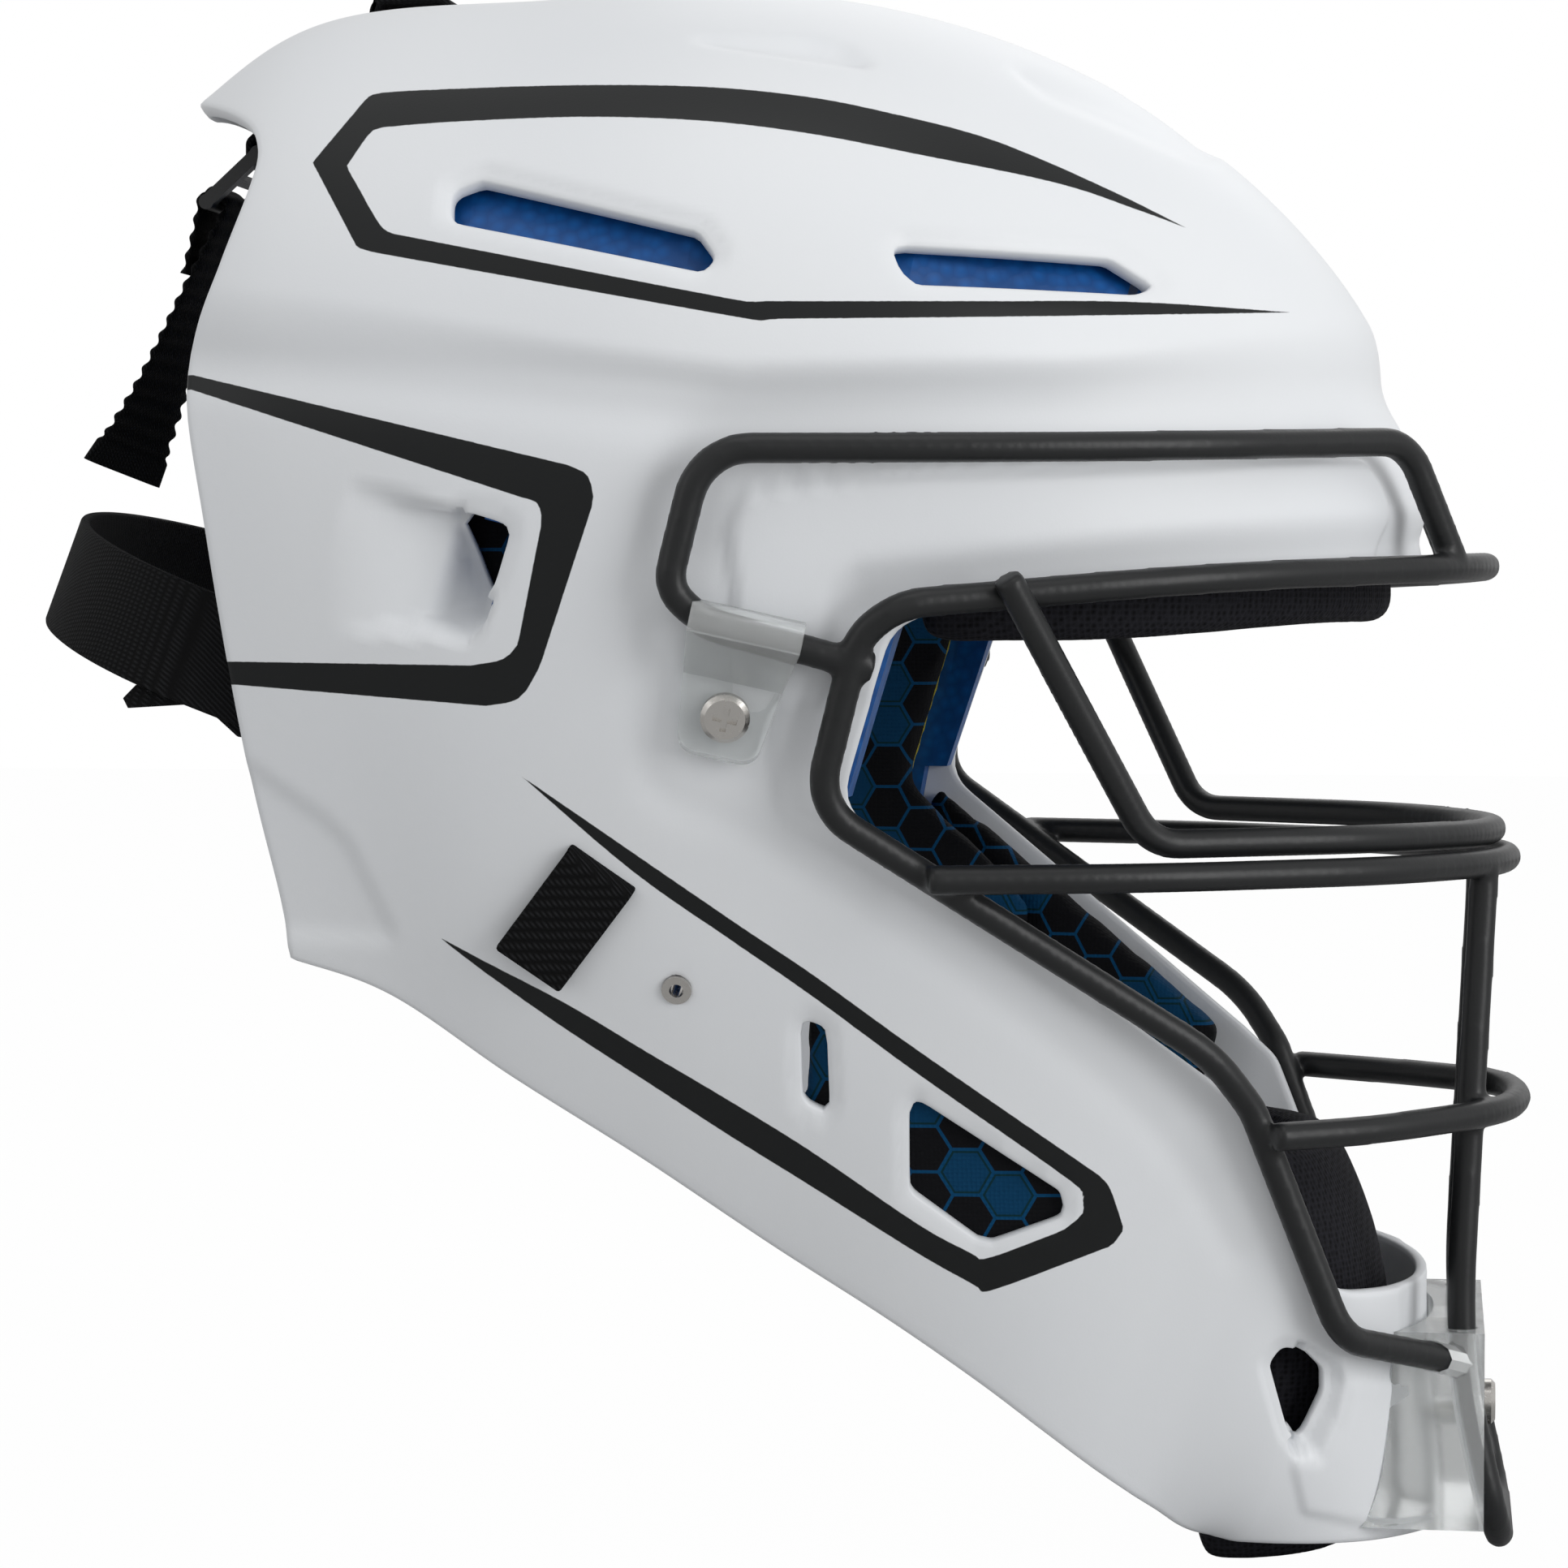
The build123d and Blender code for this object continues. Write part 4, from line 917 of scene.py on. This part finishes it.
def gathered_strap():
    """Crown strap: a lap sewn round the lock's bar, then a hanging length that turns."""
    down = np.array([-cos(STRAP_SLOPE), 0, -sin(STRAP_SLOPE)])
    out = np.array([-sin(STRAP_SLOPE), 0, cos(STRAP_SLOPE)])
    side = np.array([0.0, 1.0, 0.0])
    bar = np.array(STRAP_BAR)
    lap = [bar + down * below + out * proud for below, proud in STRAP_LAP]
    bend = [bar + (out * cos(t) - down * sin(t)) * STRAP_EYE
            for t in np.linspace(0, pi, STRAP_BENDS)]
    hang = [bar - out * STRAP_EYE + down * STRAP_LENGTH * k / STRAP_SPANS
            + out * STRAP_WAVE * sin(2 * pi * k / STRAP_SPANS)
            for k in range(1, STRAP_SPANS + 1)]
    middles, stations = along(np.array(lap + bend + hang), STRAP_STATION)
    ahead = np.gradient(middles, axis=0)
    ahead /= np.linalg.norm(ahead, axis=1, keepdims=True)
    left = stations[-1] - stations
    turn = STRAP_TWIST * np.clip(1 - left / STRAP_LENGTH, 0, 1)[:, None] ** 2
    across = side * np.cos(turn) - np.cross(side, ahead) * np.sin(turn)
    hem = 1 - ramp(left, STRAP_HEM - STRAP_HEM_STEP, STRAP_HEM + STRAP_HEM_STEP)
    gather = np.cos(2 * pi * stations / STRAP_RIB) * (1 - hem)
    halves = (np.array([STRAP_WIDTH, STRAP_THICKNESS]) / 2 - STRAP_LOSS
              + gather[:, None] * STRAP_GATHER + hem[:, None] * STRAP_HEM_GAIN)
    return tube_mesh("crown_strap_gathered", middles, across, np.cross(across, ahead), halves)


def soft_piece(name, node, voxel=2.5, rounds=12, swell=0.6):
    piece = remeshed(name, [node], voxel, rounds, swell)
    modify(piece, "SUBSURF", levels=1)
    settle(piece)
    return piece


def taper_forward(piece):
    """Thins a cushion from below towards its front end, and draws that end back."""
    points = np.empty(len(piece.data.vertices) * 3)
    piece.data.vertices.foreach_get("co", points)
    points = points.reshape(-1, 3)
    x, z = points[:, 0].copy(), points[:, 2].copy()
    forward = ramp(x / MM, TAPER_START, x.max() / MM)
    points[:, 2] += (z.max() - z) / (z.max() - z.min()) * TAPER_RISE * MM * forward
    points[:, 0] -= TAPER_BACK * MM * forward
    piece.data.vertices.foreach_set("co", points.ravel())
    piece.data.update()


def strap_piece(name, node):
    piece = copy_of(name, node)
    modify(piece, "BEVEL", width=TAPE_EDGE * MM, segments=2, limit_method="ANGLE")
    return settle(piece)


# Stage

def camera():
    data = bpy.data.cameras.new("camera")
    data.sensor_width = SENSOR
    data.lens = SENSOR * DISTANCE / (PIXEL * PHOTO)
    view = new_object("camera", data)
    turn = Matrix((RIGHT, UP, BACK)).transposed().to_4x4()
    spot = (TARGET + BACK * DISTANCE) * MM
    view.matrix_world = Matrix.Translation(Vector(spot)) @ turn
    bpy.context.scene.camera = view


def lamp(name, spot, size, power):
    data = bpy.data.lights.new(name, "AREA")
    data.shape = "RECTANGLE"
    data.size, data.size_y = size
    data.energy = power
    light = new_object(name, data)
    light.location = spot
    aim = Vector(TARGET * MM) - Vector(spot)
    light.rotation_euler = aim.to_track_quat("-Z", "Y").to_euler()


def white_world():
    """White to the camera, and dimmer as a light."""
    world = bpy.data.worlds.new("studio")
    bpy.context.scene.world = world
    world.use_nodes = True
    tree = world.node_tree
    path = add(tree, "LightPath")
    seen = calc(tree, "MAXIMUM", path.outputs["Is Camera Ray"],
                path.outputs["Is Transmission Ray"])
    ground = tree.nodes["Background"]
    ground.inputs["Color"].default_value = (1, 1, 1, 1)
    strength = mapped(tree, seen, new_low=WORLD_LIGHT)
    tree.links.new(strength, ground.inputs["Strength"])


def white_floor():
    """Grey floor that glows to the camera, so that it looks white."""
    corners = [(-1, -1, 0), (1, -1, 0), (1, 1, 0), (-1, 1, 0)]
    floor = mesh_piece("floor", np.array(corners) * FLOOR_REACH, [(0, 1, 2, 3)], smooth=False)
    floor.location.z = CAD_BOX[0].z - FLOOR_GAP * MM
    material, tree, surface = new_material("floor_white", FLOOR_COLOR, 0.9)
    path = add(tree, "LightPath")
    glow = add(tree, "Emission", {"Color": (1, 1, 1, 1), "Strength": 1.0})
    share = calc(tree, "MULTIPLY", path.outputs["Is Camera Ray"], FLOOR_GLOW)
    blend = add(tree, "MixShader", {0: share, 1: surface.outputs[0], 2: glow.outputs[0]})
    tree.links.new(blend.outputs[0], tree.nodes["Material Output"].inputs["Surface"])
    floor.data.materials.append(material)


camera()
white_world()
white_floor()
for name, spot, size, power in LAMPS:
    lamp(name, spot, size, power)
bpy.context.scene.view_settings.view_transform = "Standard"

dress(shell_piece(), shell_material(), "helmet", "shell_white", "shell")

CAGE = cage_material()
wire_piece("cage_welded", CAGE, "cage_loop", "cage_frame_right", "cage_frame_left",
           "cage_chin_bar", "cage_cheek_bar", "cage_mouth_bar")
wire_piece("eye_bars", CAGE, "cage_eye_bar")

for material, nodes in (
        (liner_material(), ("liner_crown", "liner_side_right", "liner_side_left")),
        (clear_material(), ("side_clip_right", "side_clip_left", "chin_clip")),
        (metal_material(), ("clip_screws", "tee_nuts", "jaw_eyelet_right",
                            "jaw_eyelet_left")),
        (plastic_material(), ("ladder_lock",))):
    for node in nodes:
        paint_node(node, material)

PAD, HEX, FOAM = pad_material(), hexagon_material(), foam_material()
for name in ("brow_pad", "chin_pad", "crown_pad"):
    pad = soft_piece(name + "_fabric", name)
    if name == "brow_pad":
        taper_forward(pad)
    dress(pad, PAD, "helmet", "pad_fabric", name)
for side in ("right", "left"):
    for name in ("side_pad_", "jaw_pad_"):
        dress(soft_piece(name + side + "_fabric", name + side), HEX, "helmet", "pad_fabric",
              name + side)
    dress(soft_piece("foam_" + side, "foam_side_" + side, voxel=1.2, rounds=3, swell=0.0),
          FOAM, "helmet", "foam_yellow", "foam_side_" + side)

WEB = webbing_material()
for name, body in (("crown_loop", "helmet"), ("rear_band", "band"),
                   ("band_tail_right", "band"), ("band_tail_left", "band"),
                   ("jaw_tab_right", "helmet"), ("jaw_tab_left", "helmet")):
    dress(strap_piece(name + "_woven", name), WEB, body, "webbing_black", name)
dress(gathered_strap(), WEB, "strap", "webbing_black", "crown_strap")
